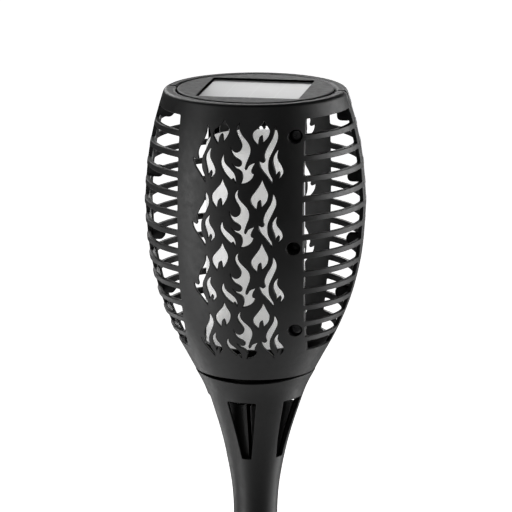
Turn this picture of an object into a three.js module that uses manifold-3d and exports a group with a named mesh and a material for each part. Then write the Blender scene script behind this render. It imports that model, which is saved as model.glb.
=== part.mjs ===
// A solar flame torch for the garden: a slatted barrel head with flame cut-outs, a slotted funnel throat,
// a two-part pole and a ground spike.
// Millimetres, +Z up. The origin is on the torch's axis at ground level, under the spike's collar.
// The front panel faces -Y. Depths in the head and throat are counted down from the rim of the head.

import * as THREE from "three";
import { mergeVertices } from "three/addons/utils/BufferGeometryUtils.js";
import Module from "manifold-3d";

const wasm = await Module();
wasm.setup();

// ---- driving dimensions ----

const RIM = 640; // height of the head's rim above the ground
const SEAM = -154; // depth of the joint between head and throat
const WALL = 2.2; // thickness of the head's and throat's mouldings
const GAP = 0.3; // clearance between pieces that touch
const ROUND = 32; // sides of a full turn on the large pieces
const MEDIUM_ROUND = 20; // sides of a full turn on the lamp and the pole
const SMALL_ROUND = 12; // sides of a full turn on screws and other small pieces
const PILOT_ROUND = 8; // sides of a full turn on shanks and the holes they go into
const BEYOND = 80; // how far a cutter reaches, past the outside of every piece

const PANEL = { width: 54.5, depth: 54, top: -1, thickness: 1.8, padThickness: 0.8 };
const CAP = { radius: 42.4, edge: -3, hub: 38.2, hubLow: -5.4, pocketFloor: -4.2 };
const COVER = { radius: 41, top: -5.7, low: -7.7, dish: 27, dishLow: -15.4, wall: 1.6, screwRadius: 34.2 };
const BOARD = { radius: 24, low: -11.6, top: -10.2, chipTop: -8.6 };
const LEDGE = { inner: 38.8, top: -3.3, low: -5.3 };
const MOUTH = { inner: 43.1, top: -0.9, bevel: 44.2, shoulder: 48.2 };
const RIB = { inner: 27.6, outer: 30, top: -150, low: -152 };
const WINDOW = { top: -8.4, bottom: -137.6, edge: 34, edgeLow: 32.4, strip: 4.8 };
const SLATS = { count: 12, first: -17.8, pitch: 10.95, shrink: 0.066, height: 3.1 };
const FLAMES = { rows: 4, pitch: 34.3, repeat: 36, teardrops: 2, teardropDrop: 3.2, tallRise: 1.3 };
const CAGE_SCREW = {
  across: [29.2, 29.2, 28.2],
  depths: [-16.9, -76.3, -123.9],
  seats: [-40.4, -40.4, -33.4],
  hole: 3.5,
  boss: 4.6,
  floor: 5.6,
  head: 2.9,
  headHeight: 1.8,
  shank: 1.3,
  length: 9.5,
};
const EAR = { depths: [-13.4, -46.7, -81.4, -111.2], reach: 8, height: 6 };
const FRAME = { radius: 29.5, top: -138.5, groove: 27, floorTop: -143, floorLow: -146, bottom: -153.6 };
const RAIL = { low: 25.4, high: 31.6, thickness: 4.5, top: -8.4, bendTop: -92, bendLow: -118, webInner: -8 };
const DIFFUSER = { radius: 26.8, wall: 1.6, top: -27, bottom: -142.6 };
const CORE = { radius: 12.4, bore: 10, top: -34, bottom: -142.6 };
const LEDS = { columns: 8, rows: 8, pitch: 11.8, top: -43, size: 3.4, proud: 1.2 };
const BATTERY = { radius: 9.1, bottom: -138, length: 65 };
const SPRING = { turns: 2.5, wide: 6.4, narrow: 4, wire: 0.35, low: -141.6, height: 2.6 };
const SPIGOT = { radius: 21.5, inner: 18.9, bottom: -163.6 };
const LUG = { count: 3, reach: 24.2, top: -161, angle: 28, twist: 40 };
const COLLAR = { inner: 22.2, top: -158.2, low: -160.6 };
const BUTTON = { radius: 7, flange: 9, face: -162.6, plateTop: -158.6, plateLow: -160.6 };
const SLOT = { count: 5, turn: -8, top: -169, bottom: -203, halfTop: 8.2, halfBottom: 2.6 };
const LINER = { top: -172, topRadius: 17.4, low: -204.5, lowRadius: 12.4, wall: 1.6, ribWidth: 2.1 };
const RIM_DIP = { half: 27, dip: 2.1 };
const SLEEVE = { bottom: -250, stopLow: -213, stopTop: -211, stopBore: 8 };
const POLE = { radius: 9.5, bore: 8.1, socket: 9.9, meet: 213.5 };
const COUPLER = { radius: 7.75, bore: 6, engage: 36, flange: 1.4 };
const SPIKE = {
  tip: -140,
  taperTop: -26,
  finReach: 15,
  finHalf: 1.3,
  collar: 22,
  socketTop: 40,
  socketFloor: 8,
};

// Outer radius of the head and throat: [radius, depth].
const HEAD_OUTLINE = [
  [49.9, -1.5], [53.9, -15.5], [58, -35], [60, -57], [59.6, -75],
  [56.7, -97], [50.6, -118.5], [41.6, -138.5], [33.3, SEAM],
];
const THROAT_OUTLINE = [
  [32.9, SEAM - 0.7], [28.1, -164], [24, -175.5], [20, -188.5],
  [16.2, -202.5], [13.4, -217], [12.2, -232], [12, SLEEVE.bottom],
];

// ---- solids ----

const { degToRad } = THREE.MathUtils;

// A closed three.js geometry as a manifold-3d solid.
function solid(geometry) {
  const bare = geometry.clone();
  bare.deleteAttribute("normal");
  bare.deleteAttribute("uv");
  const merged = mergeVertices(bare, 1e-4);
  return new wasm.Manifold(
    new wasm.Mesh({
      numProp: 3,
      vertProperties: merged.attributes.position.array,
      triVerts: new Uint32Array(merged.index.array),
    }),
  );
}

// A manifold-3d solid as a flat-shaded three.js geometry.
function geometryOf(shape) {
  const mesh = shape.getMesh();
  const positions = new Float32Array(mesh.numVert * 3);
  for (let i = 0; i < mesh.numVert; i++) {
    positions.set(mesh.vertProperties.subarray(i * mesh.numProp, i * mesh.numProp + 3), i * 3);
  }
  const indexed = new THREE.BufferGeometry();
  indexed.setAttribute("position", new THREE.BufferAttribute(positions, 3));
  indexed.setIndex(new THREE.BufferAttribute(new Uint32Array(mesh.triVerts), 1));
  const geometry = indexed.toNonIndexed();
  geometry.computeVertexNormals();
  return geometry;
}

// A disc or ring turned about Z.
// Its [radius, height] corners run anticlockwise, with the radius to the right.
function turned(outline, sides = ROUND) {
  const points = outline.map(([r, z]) => new THREE.Vector2(r, z));
  const onAxis = outline[0][0] === 0 && outline[outline.length - 1][0] === 0;
  if (!onAxis) points.push(points[0].clone());
  return solid(new THREE.LatheGeometry(points, sides).rotateX(Math.PI / 2));
}

function disc(radius, low, high, sides = MEDIUM_ROUND) {
  return turned([[0, low], [radius, low], [radius, high], [0, high]], sides);
}

function ring(inner, outer, low, high, sides = ROUND) {
  return turned([[inner, low], [outer, low], [outer, high], [inner, high]], sides);
}

function peg(radius, x, y, low, high, sides = SMALL_ROUND) {
  return disc(radius, low, high, sides).translate([x, y, 0]);
}

function box(low, high) {
  const size = high.map((value, i) => value - low[i]);
  const middle = high.map((value, i) => (value + low[i]) / 2);
  return solid(new THREE.BoxGeometry(...size).translate(...middle));
}

// An outline of [x, height] corners, extruded along Y.
function slabAlongY(outline, from, to) {
  const shape = new THREE.Shape(outline.map(([x, z]) => new THREE.Vector2(x, z)));
  const geometry = new THREE.ExtrudeGeometry(shape, { depth: to - from, bevelEnabled: false });
  return solid(geometry.rotateX(Math.PI / 2).translate(0, to, 0));
}

// An outline of [y, height] corners, extruded along X.
function slabAlongX(outline, from, to) {
  return slabAlongY(outline, -to, -from).rotate([0, 0, 90]);
}

function rodAlongY(radius, x, z, from, to, sides = SMALL_ROUND) {
  const geometry = new THREE.CylinderGeometry(radius, radius, to - from, sides);
  return solid(geometry.translate(x, (from + to) / 2, z));
}

const joined = (shapes) => shapes.reduce((all, next) => all.add(next));

// Copies of a shape, turned about Z by equal steps.
function aroundAxis(shape, count, start = 0) {
  return joined(Array.from({ length: count }, (_, i) => shape.rotate([0, 0, start + (i * 360) / count])));
}

// ---- materials ----

function finish(color, roughness, metalness) {
  return new THREE.MeshStandardMaterial({ color, roughness, metalness });
}
const plastic = (color, roughness = 0.5) => finish(color, roughness, 0);
const metal = (color, roughness = 0.35) => finish(color, roughness, 1);
const charcoal = plastic(0x2b2c2e, 0.55);
const innerBlack = plastic(0x18191a, 0.6);
const circuitGreen = plastic(0x1d4a33, 0.45);
const screwSteel = metal(0x8f9294);

const torch = new THREE.Group();
const head = new THREE.Group();
head.position.z = RIM;
torch.add(head);

function addPart(parent, name, shape, material) {
  const mesh = new THREE.Mesh(geometryOf(shape), material);
  mesh.name = name;
  parent.add(mesh);
  return mesh;
}

// ---- the barrel's profile ----

// Outer radius at a depth, straight between the outline's corners.
function outerRadius(depth) {
  const next = Math.max(1, HEAD_OUTLINE.findIndex(([, z]) => depth >= z));
  const [r0, z0] = HEAD_OUTLINE[next - 1];
  const [r1, z1] = HEAD_OUTLINE[next];
  return r0 + ((depth - z0) * (r1 - r0)) / (z1 - z0);
}

// Depth reached after a length of surface, measured down the barrel from the rim.
function depthAt(surfaceLength) {
  const step = 0.5;
  let depth = 0;
  for (let run = 0; run < surfaceLength; depth -= step) {
    run += Math.hypot(step, outerRadius(depth - step) - outerRadius(depth));
  }
  return depth;
}

// The barrel's volume, its skin moved inwards by an inset.
function barrelVolume(inset) {
  const skin = HEAD_OUTLINE.map(([r, z]) => [r - inset, z]).reverse();
  return turned([[0, SEAM], ...skin, [0, HEAD_OUTLINE[0][1]]]);
}

const barrelBody = barrelVolume(0.2);
const barrelRoom = barrelVolume(WALL + 0.6);

// ---- flame cut-outs ----

// One row of flames: [x, surface length down from the row's start] corners, one outline for each opening.
// The row is a frieze: what stands at its right-hand end starts again on the left, one repeat further on.
const RIGHT_END = [
  [[19, 13.2], [20.7, 17.3], [16.4, 29], [18.5, 41.5], [11.7, 30], [14.4, 29.8], [15.7, 22.3]],
  [[21, 25.8], [23.8, 35.6], [21.8, 39.2], [18.7, 30.4]],
];
const FLAME_ROW = [
  [[-7.8, 5.5], [-5, 11], [-4.9, 13.6], [-7.3, 18.4], [-8.6, 15.2], [-10.5, 21.4], [-13.4, 16.4], [-12, 12]],
  [[14, 5.5], [16.4, 11.5], [16.4, 14.6], [13.4, 19.2], [12.8, 15.8], [10.8, 21.6], [7.6, 16.6], [8.8, 13.2]],
  [
    [0.5, 11], [6.8, 20.5], [6.4, 26], [5, 33], [9.4, 29.6], [8.6, 36.4], [3, 42], [2.6, 36], [0.2, 33],
    [2.2, 30], [-2.8, 26.5], [-3.8, 20.6], [-1.2, 23.4], [2.4, 21.4],
  ],
  [[-7.6, 28.6], [-6.4, 32.4], [-1.2, 37.8], [-0.5, 41.4], [-8.8, 32.4]],
  ...RIGHT_END,
  ...RIGHT_END.map((outline) => outline.map(([x, run]) => [x - FLAMES.repeat, run])),
];

// How far down a flame's tip moves in the top row: teardrops are squeezed, taller flames are drawn up.
const tipShift = (shape, row) => {
  if (row > 0) return 0;
  return shape < FLAMES.teardrops ? FLAMES.teardropDrop : -FLAMES.tallRise;
};

// A corner of the flame pattern on the barrel. The shift fades over 10 mm below the tip; the lowest row narrows.
function flameCorner([x, run], row, tip, shift) {
  const moved = run + shift * Math.max(0, 1 - (run - tip) / 10);
  const depth = depthAt(moved + row * FLAMES.pitch);
  const narrowing = 1 - 0.1 * Math.max(0, (-depth - 105) / 35);
  return [x * narrowing, depth];
}

function flameCutters() {
  const rows = Array.from({ length: FLAMES.rows }, (_, row) => row);
  return rows.flatMap((row) =>
    FLAME_ROW.map((outline, shape) => {
      const tip = Math.min(...outline.map(([, run]) => run));
      const shift = tipShift(shape, row);
      const corners = outline.map((corner) => flameCorner(corner, row, tip, shift));
      return slabAlongY(corners.reverse(), -BEYOND, -WINDOW.strip);
    }),
  );
}

// ---- slatted windows ----

const slatDepth = (k) => SLATS.first - SLATS.pitch * k + SLATS.shrink * k * k;

// The windows' inner edge is upright down to the last third, where it leans in.
function windowEdge(depth) {
  const lean = Math.max(0, (-depth - 95) / 42);
  return WINDOW.edge - (WINDOW.edge - WINDOW.edgeLow) * lean;
}

// The gaps between the slats; side is 1 for +X and -1 for -X.
function slatGapCutters(side) {
  const cutters = [];
  for (let gap = 0; gap <= SLATS.count; gap++) {
    const high = gap === 0 ? WINDOW.top : slatDepth(gap - 1) - SLATS.height / 2;
    const low = gap === SLATS.count ? WINDOW.bottom : slatDepth(gap) + SLATS.height / 2;
    const corners = [[windowEdge(low), low], [BEYOND, low], [BEYOND, high], [windowEdge(high), high]];
    const outline = side > 0 ? corners : corners.map(([x, z]) => [-x, z]).reverse();
    cutters.push(slabAlongY(outline, -BEYOND, -WINDOW.strip));
  }
  return cutters;
}

// ---- one half of the barrel; the other is the same moulding turned half a turn ----

function cageShell() {
  const inner = HEAD_OUTLINE.slice(1, -1).map(([r, z]) => [r - WALL, z]);
  return turned([
    [RIB.inner, RIB.low], [RIB.outer, RIB.low], [RIB.outer, SEAM],
    ...HEAD_OUTLINE.slice().reverse(),
    [MOUTH.shoulder, 0], [MOUTH.bevel, 0], [MOUTH.inner, MOUTH.top],
    [MOUTH.inner, LEDGE.top], [LEDGE.inner, LEDGE.top], [LEDGE.inner, LEDGE.low], [48.6, LEDGE.low],
    ...inner,
    [33.2, RIB.top], [RIB.inner, RIB.top],
  ]);
}

// A screw cup inside the panel's right-hand edge: a counterbore with a seat for the screw's head.
function screwCups() {
  const { across, depths, seats, boss, floor } = CAGE_SCREW;
  return depths.map((depth, i) => {
    const wallAt = -Math.sqrt((outerRadius(depth) - 1) ** 2 - across[i] ** 2);
    return rodAlongY(boss, across[i], depth, wallAt - 2, seats[i] + floor).intersect(barrelBody);
  });
}

function screwHoles() {
  const { across, depths, seats, hole, floor, shank } = CAGE_SCREW;
  return depths.flatMap((depth, i) => [
    rodAlongY(hole, across[i], depth, -BEYOND, seats[i]),
    rodAlongY(shank + 0.4, across[i], depth, -BEYOND, seats[i] + floor + 1),
  ]);
}

// Ears on the left-hand edge strip, which locate the other half.
function locatingEars() {
  return EAR.depths.map((depth) => {
    const reach = outerRadius(depth) - 1;
    const low = [-reach, -WINDOW.strip, depth - EAR.height / 2];
    const high = [-reach + EAR.reach, -GAP / 2, depth + EAR.height / 2];
    return box(low, high).intersect(barrelBody);
  });
}

function cageHalf() {
  const frontSide = box([-BEYOND, -BEYOND, SEAM - 5], [BEYOND, -GAP / 2, 5]);
  return cageShell()
    .intersect(frontSide)
    .subtract(joined([...slatGapCutters(1), ...slatGapCutters(-1), ...flameCutters()]))
    .add(joined([...screwCups(), ...locatingEars()]))
    .subtract(joined(screwHoles()));
}

const cage = cageHalf();
addPart(head, "cage_front", cage, charcoal);
addPart(head, "cage_back", cage, charcoal).rotation.z = Math.PI;

// ---- the six screws that hold the halves to the lamp frame's rails ----

for (const [side, turn] of [["front", 0], ["back", 180]]) {
  CAGE_SCREW.depths.forEach((depth, i) => {
    const { across, seats, head: headRadius, headHeight, shank: shankRadius, length } = CAGE_SCREW;
    const under = seats[i] - GAP;
    const end = seats[i] + length;
    const headShape = rodAlongY(headRadius, across[i], depth, under - headHeight, under);
    const shank = rodAlongY(shankRadius, across[i], depth, under - headHeight / 2, end, PILOT_ROUND);
    const screw = headShape.add(shank).rotate([0, 0, turn]);
    addPart(head, `cage_screw_${side}_${i + 1}`, screw, screwSteel);
  });
}

// ---- solar cap ----

const pocketHalf = [PANEL.width / 2 + 0.5, PANEL.depth / 2 + 0.5];
const pocket = box([-pocketHalf[0], -pocketHalf[1], CAP.pocketFloor], [pocketHalf[0], pocketHalf[1], 5]);
const capScrewHoles = aroundAxis(peg(1.6, COVER.screwRadius, 0, CAP.hubLow - 1, -1.6, PILOT_ROUND), 4);
const solarCap = turned([
  [0, CAP.hubLow], [CAP.hub, CAP.hubLow], [CAP.hub, CAP.edge], [CAP.radius, CAP.edge],
  [CAP.radius, -0.7], [CAP.radius - 0.7, 0], [0, 0],
])
  .subtract(pocket)
  .subtract(peg(3, 0, 20, CAP.hubLow - 1, 0))
  .subtract(capScrewHoles);
addPart(head, "solar_cap", solarCap, charcoal);

const panelLow = PANEL.top - PANEL.thickness;
const sheet = (inset, low, high) =>
  box(
    [-PANEL.width / 2 + inset, -PANEL.depth / 2 + inset, low],
    [PANEL.width / 2 - inset, PANEL.depth / 2 - inset, high],
  );
addPart(head, "solar_panel", sheet(0, panelLow, PANEL.top), plastic(0xb9bdc2, 0.25));
const pad = sheet(2, panelLow - GAP - PANEL.padThickness, panelLow - GAP).subtract(peg(4, 0, 20, -6, 0));
addPart(head, "panel_foam_pad", pad, plastic(0x3a3a3a, 0.9));

// ---- cap cover, with the control board in its dish ----

const { dish, dishLow, wall } = COVER;
const boardPosts = aroundAxis(peg(2, 20, 0, dishLow + 1, BOARD.low - GAP, PILOT_ROUND), 3, 90);
const coverScrewHole = peg(1.9, COVER.screwRadius, 0, COVER.low - 1, COVER.top + 1, PILOT_ROUND);
const capCover = turned([
  [0, dishLow], [dish + wall, dishLow], [dish + wall, COVER.low], [COVER.radius, COVER.low],
  [COVER.radius, COVER.top], [dish, COVER.top], [dish, dishLow + wall], [0, dishLow + wall],
])
  .add(boardPosts)
  .subtract(aroundAxis(coverScrewHole, 4))
  .subtract(box([20, -18, -13.2], [30, -13, -9.6]));
addPart(head, "cap_cover", capCover, innerBlack);

const chipPlaces = [[-9, 6, 5, 4], [8, -9, 7, 5], [5, 10, 4, 3], [-10, -8, 3, 3]];
const chips = chipPlaces.map(([x, y, halfX, halfY]) =>
  box([x - halfX, y - halfY, BOARD.top - 0.1], [x + halfX, y + halfY, BOARD.chipTop]),
);
const controlBoard = disc(BOARD.radius, BOARD.low, BOARD.top).add(joined(chips));
addPart(head, "control_board", controlBoard, circuitGreen);

for (let i = 0; i < 4; i++) {
  const x = COVER.screwRadius;
  const headShape = peg(2.7, x, 0, COVER.low - 2, COVER.low - GAP);
  const shank = peg(1.2, x, 0, COVER.low - 1, -2.4, PILOT_ROUND);
  addPart(head, `cap_screw_${i + 1}`, headShape.add(shank).rotate([0, 0, i * 90]), screwSteel);
}

// ---- lamp frame: the base between the barrel halves, its bayonet spigot and two rails up to the cap ----

// A rail stands behind the right-hand edge of a panel and leans in where the barrel narrows.
function rail() {
  const { thickness, top, low, high, bendTop, bendLow, webInner } = RAIL;
  const { across, depths, seats, floor, shank, length } = CAGE_SCREW;
  const upper = seats[0] + floor + GAP;
  const lower = seats[2] + floor + GAP;
  const foot = FRAME.top - 4;
  const upperInner = upper + thickness;
  const lowerInner = lower + thickness;
  const outline = [
    [upper, top], [upper, bendTop], [lower, bendLow], [lower, foot],
    [lowerInner, foot], [lowerInner, bendLow], [upperInner, bendTop], [upperInner, top],
  ];
  const holes = depths.map((depth, i) =>
    rodAlongY(shank + GAP, across[i], depth, -BEYOND, seats[i] + length + 1, PILOT_ROUND),
  );
  const web = box([low - 6, lower, FRAME.floorLow], [high - 2, webInner, FRAME.top - 1]);
  return slabAlongX(outline, low, high).add(web).intersect(barrelRoom).subtract(joined(holes));
}

const lug = (low, high, reach, angle) => {
  const half = degToRad(angle / 2);
  const x = reach * Math.cos(half);
  const y = reach * Math.sin(half);
  return box([12, -y, low], [x, y, high]).intersect(disc(reach, low, high, ROUND));
};
const framePosts = aroundAxis(peg(2.8, 14, 0, BUTTON.plateTop + GAP, FRAME.floorLow + 1), 3, 90);
const framePilots = aroundAxis(peg(1.5, 14, 0, BUTTON.plateTop - 1, FRAME.floorLow - 1, PILOT_ROUND), 3, 90);
const cup = DIFFUSER.radius + 0.4;
const frameBody = turned([
  [SPIGOT.inner, SPIGOT.bottom], [SPIGOT.radius, SPIGOT.bottom], [SPIGOT.radius, FRAME.bottom],
  [FRAME.radius, FRAME.bottom], [FRAME.radius, RIB.low - 0.4], [FRAME.groove, RIB.low - 0.4],
  [FRAME.groove, RIB.top + 0.4], [FRAME.radius, RIB.top + 0.4], [FRAME.radius, FRAME.top],
  [cup, FRAME.top], [cup, FRAME.floorTop], [0, FRAME.floorTop], [0, FRAME.floorLow],
  [SPIGOT.inner, FRAME.floorLow],
]);
const rails = aroundAxis(rail(), 2);
const lugs = aroundAxis(lug(SPIGOT.bottom, LUG.top - 0.1, LUG.reach, LUG.angle), LUG.count)
  .subtract(disc(SPIGOT.inner + 0.4, -170, -150));
const lampFrame = frameBody
  .add(rails)
  .add(lugs)
  .add(framePosts)
  .subtract(framePilots)
  .subtract(peg(2.5, 0, 6, -150, -140))
  .subtract(disc(cup, FRAME.floorTop, -20, ROUND));
addPart(head, "lamp_frame", lampFrame, innerBlack);

// ---- light unit ----

const { radius: glow, wall: glowWall, top: glowTop, bottom: glowBottom } = DIFFUSER;
const diffuser = turned([
  [glow - glowWall, glowBottom], [glow, glowBottom], [glow, glowTop - 3], [glow - 3, glowTop],
  [0, glowTop], [0, glowTop - glowWall], [glow - 3.6, glowTop - glowWall], [glow - glowWall, glowTop - 3.6],
]);
addPart(head, "flame_diffuser", diffuser, plastic(0xf2f2ee, 0.5));

const core = turned(
  [
    [CORE.bore, CORE.bottom], [CORE.radius, CORE.bottom], [CORE.radius, CORE.top], [3, CORE.top],
    [3, CORE.top - 2], [CORE.bore, CORE.top - 2],
  ],
  MEDIUM_ROUND,
);
addPart(head, "led_core", core, plastic(0xe6e6e2, 0.6));

const sheetInner = CORE.radius + GAP;
const sheetOuter = sheetInner + 0.6;
const ledShapes = [];
for (let row = 0; row < LEDS.rows; row++) {
  const z = LEDS.top - row * LEDS.pitch;
  const led = box(
    [sheetOuter - 0.5, -LEDS.size / 2, z - LEDS.size / 2],
    [sheetOuter + LEDS.proud, LEDS.size / 2, z + LEDS.size / 2],
  );
  ledShapes.push(aroundAxis(led, LEDS.columns, 180 / MEDIUM_ROUND));
}
const ledBoard = ring(sheetInner, sheetOuter, -134, -37, MEDIUM_ROUND).add(joined(ledShapes));
addPart(head, "led_board", ledBoard, plastic(0xf4f1e4, 0.5));

const batteryTop = BATTERY.bottom + BATTERY.length;
const batteryNub = peg(3, 0, 0, batteryTop - 2, batteryTop);
const battery = disc(BATTERY.radius, BATTERY.bottom, batteryTop - 1.5).add(batteryNub);
addPart(head, "battery_cell", battery, plastic(0x2f6fae, 0.4));
const topContact = disc(9.4, batteryTop + GAP, batteryTop + 0.9);
addPart(head, "battery_top_contact", topContact, metal(0xb8b4a6));

// A coil spring: a round wire along a narrowing helix.
class SpringPath extends THREE.Curve {
  getPoint(t, target = new THREE.Vector3()) {
    const angle = t * SPRING.turns * 2 * Math.PI;
    const radius = SPRING.wide + (SPRING.narrow - SPRING.wide) * t;
    return target.set(radius * Math.cos(angle), radius * Math.sin(angle), SPRING.low + SPRING.height * t);
  }
}
const wire = new THREE.Shape(Array.from({ length: 6 }, (_, i) => {
  const angle = (i * Math.PI) / 3;
  return new THREE.Vector2(SPRING.wire * Math.cos(angle), SPRING.wire * Math.sin(angle));
}));
const springShape = { steps: 22, extrudePath: new SpringPath(), bevelEnabled: false };
const spring = new THREE.ExtrudeGeometry(wire, springShape);
addPart(head, "battery_spring", solid(spring), metal(0xb8b4a6));

// ---- switch under the base ----

const switchBoard = disc(9.8, -151.8, -150.4)
  .add(box([-3.2, -3.2, -154.4], [3.2, 3.2, -151.7]))
  .add(peg(1.7, 0, 0, -155.2, -154.3));
addPart(head, "switch_board", switchBoard, circuitGreen);

const plateHoles = aroundAxis(peg(1.8, 14, 0, BUTTON.plateLow - 1, BUTTON.plateTop + 1, PILOT_ROUND), 3, 90);
const plate = ring(BUTTON.radius + 0.5, SPIGOT.inner - 0.5, BUTTON.plateLow, BUTTON.plateTop, MEDIUM_ROUND);
addPart(head, "base_cover", plate.subtract(plateHoles), innerBlack);
for (let i = 0; i < 3; i++) {
  const screw = peg(2.5, 14, 0, BUTTON.plateLow - 1.9, BUTTON.plateLow - GAP)
    .add(peg(1.2, 14, 0, BUTTON.plateLow - 1, -149.6, PILOT_ROUND));
  addPart(head, `base_screw_${i + 1}`, screw.rotate([0, 0, 90 + i * 120]), screwSteel);
}

const button = turned(
  [
    [0, BUTTON.face], [BUTTON.radius - 0.8, BUTTON.face], [BUTTON.radius, BUTTON.face + 0.8],
    [BUTTON.radius, BUTTON.plateTop + GAP], [BUTTON.flange, BUTTON.plateTop + GAP],
    [BUTTON.flange, BUTTON.plateTop + 1.3], [0, BUTTON.plateTop + 1.3],
  ],
  MEDIUM_ROUND,
);
addPart(head, "power_button", button, plastic(0x9a2a22, 0.5));

// ---- throat ----

// The front and back of the throat's rim dip in a shallow arc.
function rimDip() {
  const shape = new THREE.Shape();
  const { half, dip } = RIM_DIP;
  const radius = (half * half + dip * dip) / (2 * dip);
  const sweep = Math.asin(half / radius);
  const down = -Math.PI / 2;
  const edge = THROAT_OUTLINE[0][1];
  shape.absarc(0, edge - dip + radius, radius, down - sweep, down + sweep, false);
  shape.lineTo(half, edge + 3);
  shape.lineTo(-half, edge + 3);
  const outline = shape.extractPoints(5).shape.map((p) => [p.x, p.y]);
  return slabAlongY(outline, -40, 40);
}

// Inside the throat a liner funnel rises from the sleeve. Five upright ribs join it to the outer wall.
const throatInner = THROAT_OUTLINE.slice(1, 5).map(([r, z]) => [r - WALL, z]);
const linerOuter = [[LINER.lowRadius, LINER.low], [LINER.topRadius, LINER.top]];
const linerInner = linerOuter.map(([r, z]) => [r - LINER.wall, z]).reverse();
function linerRibs() {
  const half = LINER.ribWidth / 2;
  const room = turned([
    ...THROAT_OUTLINE.slice(1, 5).map(([r, z]) => [r - 1, z]).reverse(),
    [LINER.topRadius - 0.8, THROAT_OUTLINE[1][1]],
    [LINER.topRadius - 0.8, LINER.top],
    [LINER.lowRadius - 0.8, THROAT_OUTLINE[4][1]],
  ]);
  const rib = box([-half, -BEYOND, LINER.low], [half, 0, LINER.top + 1]).intersect(room);
  return aroundAxis(rib, SLOT.count);
}
const throatShell = turned([
  [POLE.socket, SLEEVE.bottom],
  ...THROAT_OUTLINE.slice().reverse(),
  [29.9, THROAT_OUTLINE[0][1]], [29.9, COLLAR.top + 0.6], [29, COLLAR.top],
  [COLLAR.inner, COLLAR.top], [COLLAR.inner, COLLAR.low], [26.6, COLLAR.low],
  ...throatInner,
  ...linerOuter,
  ...linerInner,
  [10.6, SLEEVE.stopTop], [SLEEVE.stopBore, SLEEVE.stopTop], [SLEEVE.stopBore, SLEEVE.stopLow],
  [POLE.socket, SLEEVE.stopLow],
]);
const slotOutline = [
  [-SLOT.halfBottom, SLOT.bottom], [SLOT.halfBottom, SLOT.bottom],
  [SLOT.halfTop, SLOT.top], [-SLOT.halfTop, SLOT.top],
];
const linerCone = turned([[0, LINER.low - 1], linerOuter[0], linerOuter[1], [0, LINER.top + 5]]);
const slotCutter = slabAlongY(slotOutline, -BEYOND, 0).subtract(linerCone);
const lugGates = aroundAxis(
  lug(COLLAR.low - 1, COLLAR.top + 1, LUG.reach + 0.8, LUG.angle + 6),
  LUG.count,
  LUG.twist,
);
const throat = throatShell
  .subtract(rimDip())
  .subtract(aroundAxis(slotCutter, SLOT.count, SLOT.turn))
  .add(linerRibs())
  .subtract(lugGates);
addPart(head, "throat_funnel", throat, charcoal);

// ---- pole ----

const tube = (low, high) => ring(POLE.bore, POLE.radius, low, high, MEDIUM_ROUND);
const sleeveStop = RIM + SLEEVE.stopLow;
addPart(torch, "upper_pole", tube(POLE.meet + COUPLER.flange + 2 * GAP, sleeveStop - GAP), charcoal);
addPart(torch, "lower_pole", tube(SPIKE.socketFloor + GAP, POLE.meet), charcoal);
const flangeLow = POLE.meet + GAP;
const flangeHigh = flangeLow + COUPLER.flange;
const { bore, radius: couplerRadius, engage } = COUPLER;
const coupler = ring(bore, couplerRadius, flangeLow - engage, flangeHigh + engage, MEDIUM_ROUND)
  .add(ring(bore, POLE.radius, flangeLow, flangeHigh, MEDIUM_ROUND));
addPart(torch, "pole_coupler", coupler, innerBlack);

// ---- ground spike ----

const { tip, finReach, finHalf, taperTop } = SPIKE;
const fin = slabAlongY(
  [[-1.2, tip], [1.2, tip], [finReach, taperTop], [finReach, 1], [-finReach, 1], [-finReach, taperTop]],
  -finHalf,
  finHalf,
);
const spikeTop = turned(
  [
    [0, 0], [SPIKE.collar, 0], [SPIKE.collar, 3], [14, 4.5], [12.6, 8], [12.6, SPIKE.socketTop],
    [POLE.socket, SPIKE.socketTop], [POLE.socket, SPIKE.socketFloor], [0, SPIKE.socketFloor],
  ],
  MEDIUM_ROUND,
);
addPart(torch, "ground_spike", spikeTop.add(aroundAxis(fin, 2).add(fin.rotate([0, 0, 90]))), charcoal);

export default torch;
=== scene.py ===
"""Looks for the garden flame torch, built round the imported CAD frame.

Lengths are millimetres until a mesh is made. Depths in the head and throat are counted down from the
head's rim, and azimuths from the front, -Y, towards +X.
"""

import math

import bmesh
import bpy
import numpy as np
from mathutils import Matrix, Vector
from mathutils.geometry import delaunay_2d_cdt


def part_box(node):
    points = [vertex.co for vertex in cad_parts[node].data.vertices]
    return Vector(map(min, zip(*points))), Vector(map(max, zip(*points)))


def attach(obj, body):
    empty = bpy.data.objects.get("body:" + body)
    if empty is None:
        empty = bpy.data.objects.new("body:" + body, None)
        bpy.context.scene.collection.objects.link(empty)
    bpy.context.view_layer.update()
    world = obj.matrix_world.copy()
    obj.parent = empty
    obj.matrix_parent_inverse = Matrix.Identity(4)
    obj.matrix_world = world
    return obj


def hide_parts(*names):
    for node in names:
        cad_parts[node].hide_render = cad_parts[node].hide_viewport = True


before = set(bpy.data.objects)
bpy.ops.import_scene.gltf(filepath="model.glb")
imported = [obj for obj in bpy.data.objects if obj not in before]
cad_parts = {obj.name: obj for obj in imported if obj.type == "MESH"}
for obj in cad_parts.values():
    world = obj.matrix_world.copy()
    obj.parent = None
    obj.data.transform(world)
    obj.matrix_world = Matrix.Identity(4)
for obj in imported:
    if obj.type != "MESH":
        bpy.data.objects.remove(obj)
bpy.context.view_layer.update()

# ---- driving dimensions ----

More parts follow.
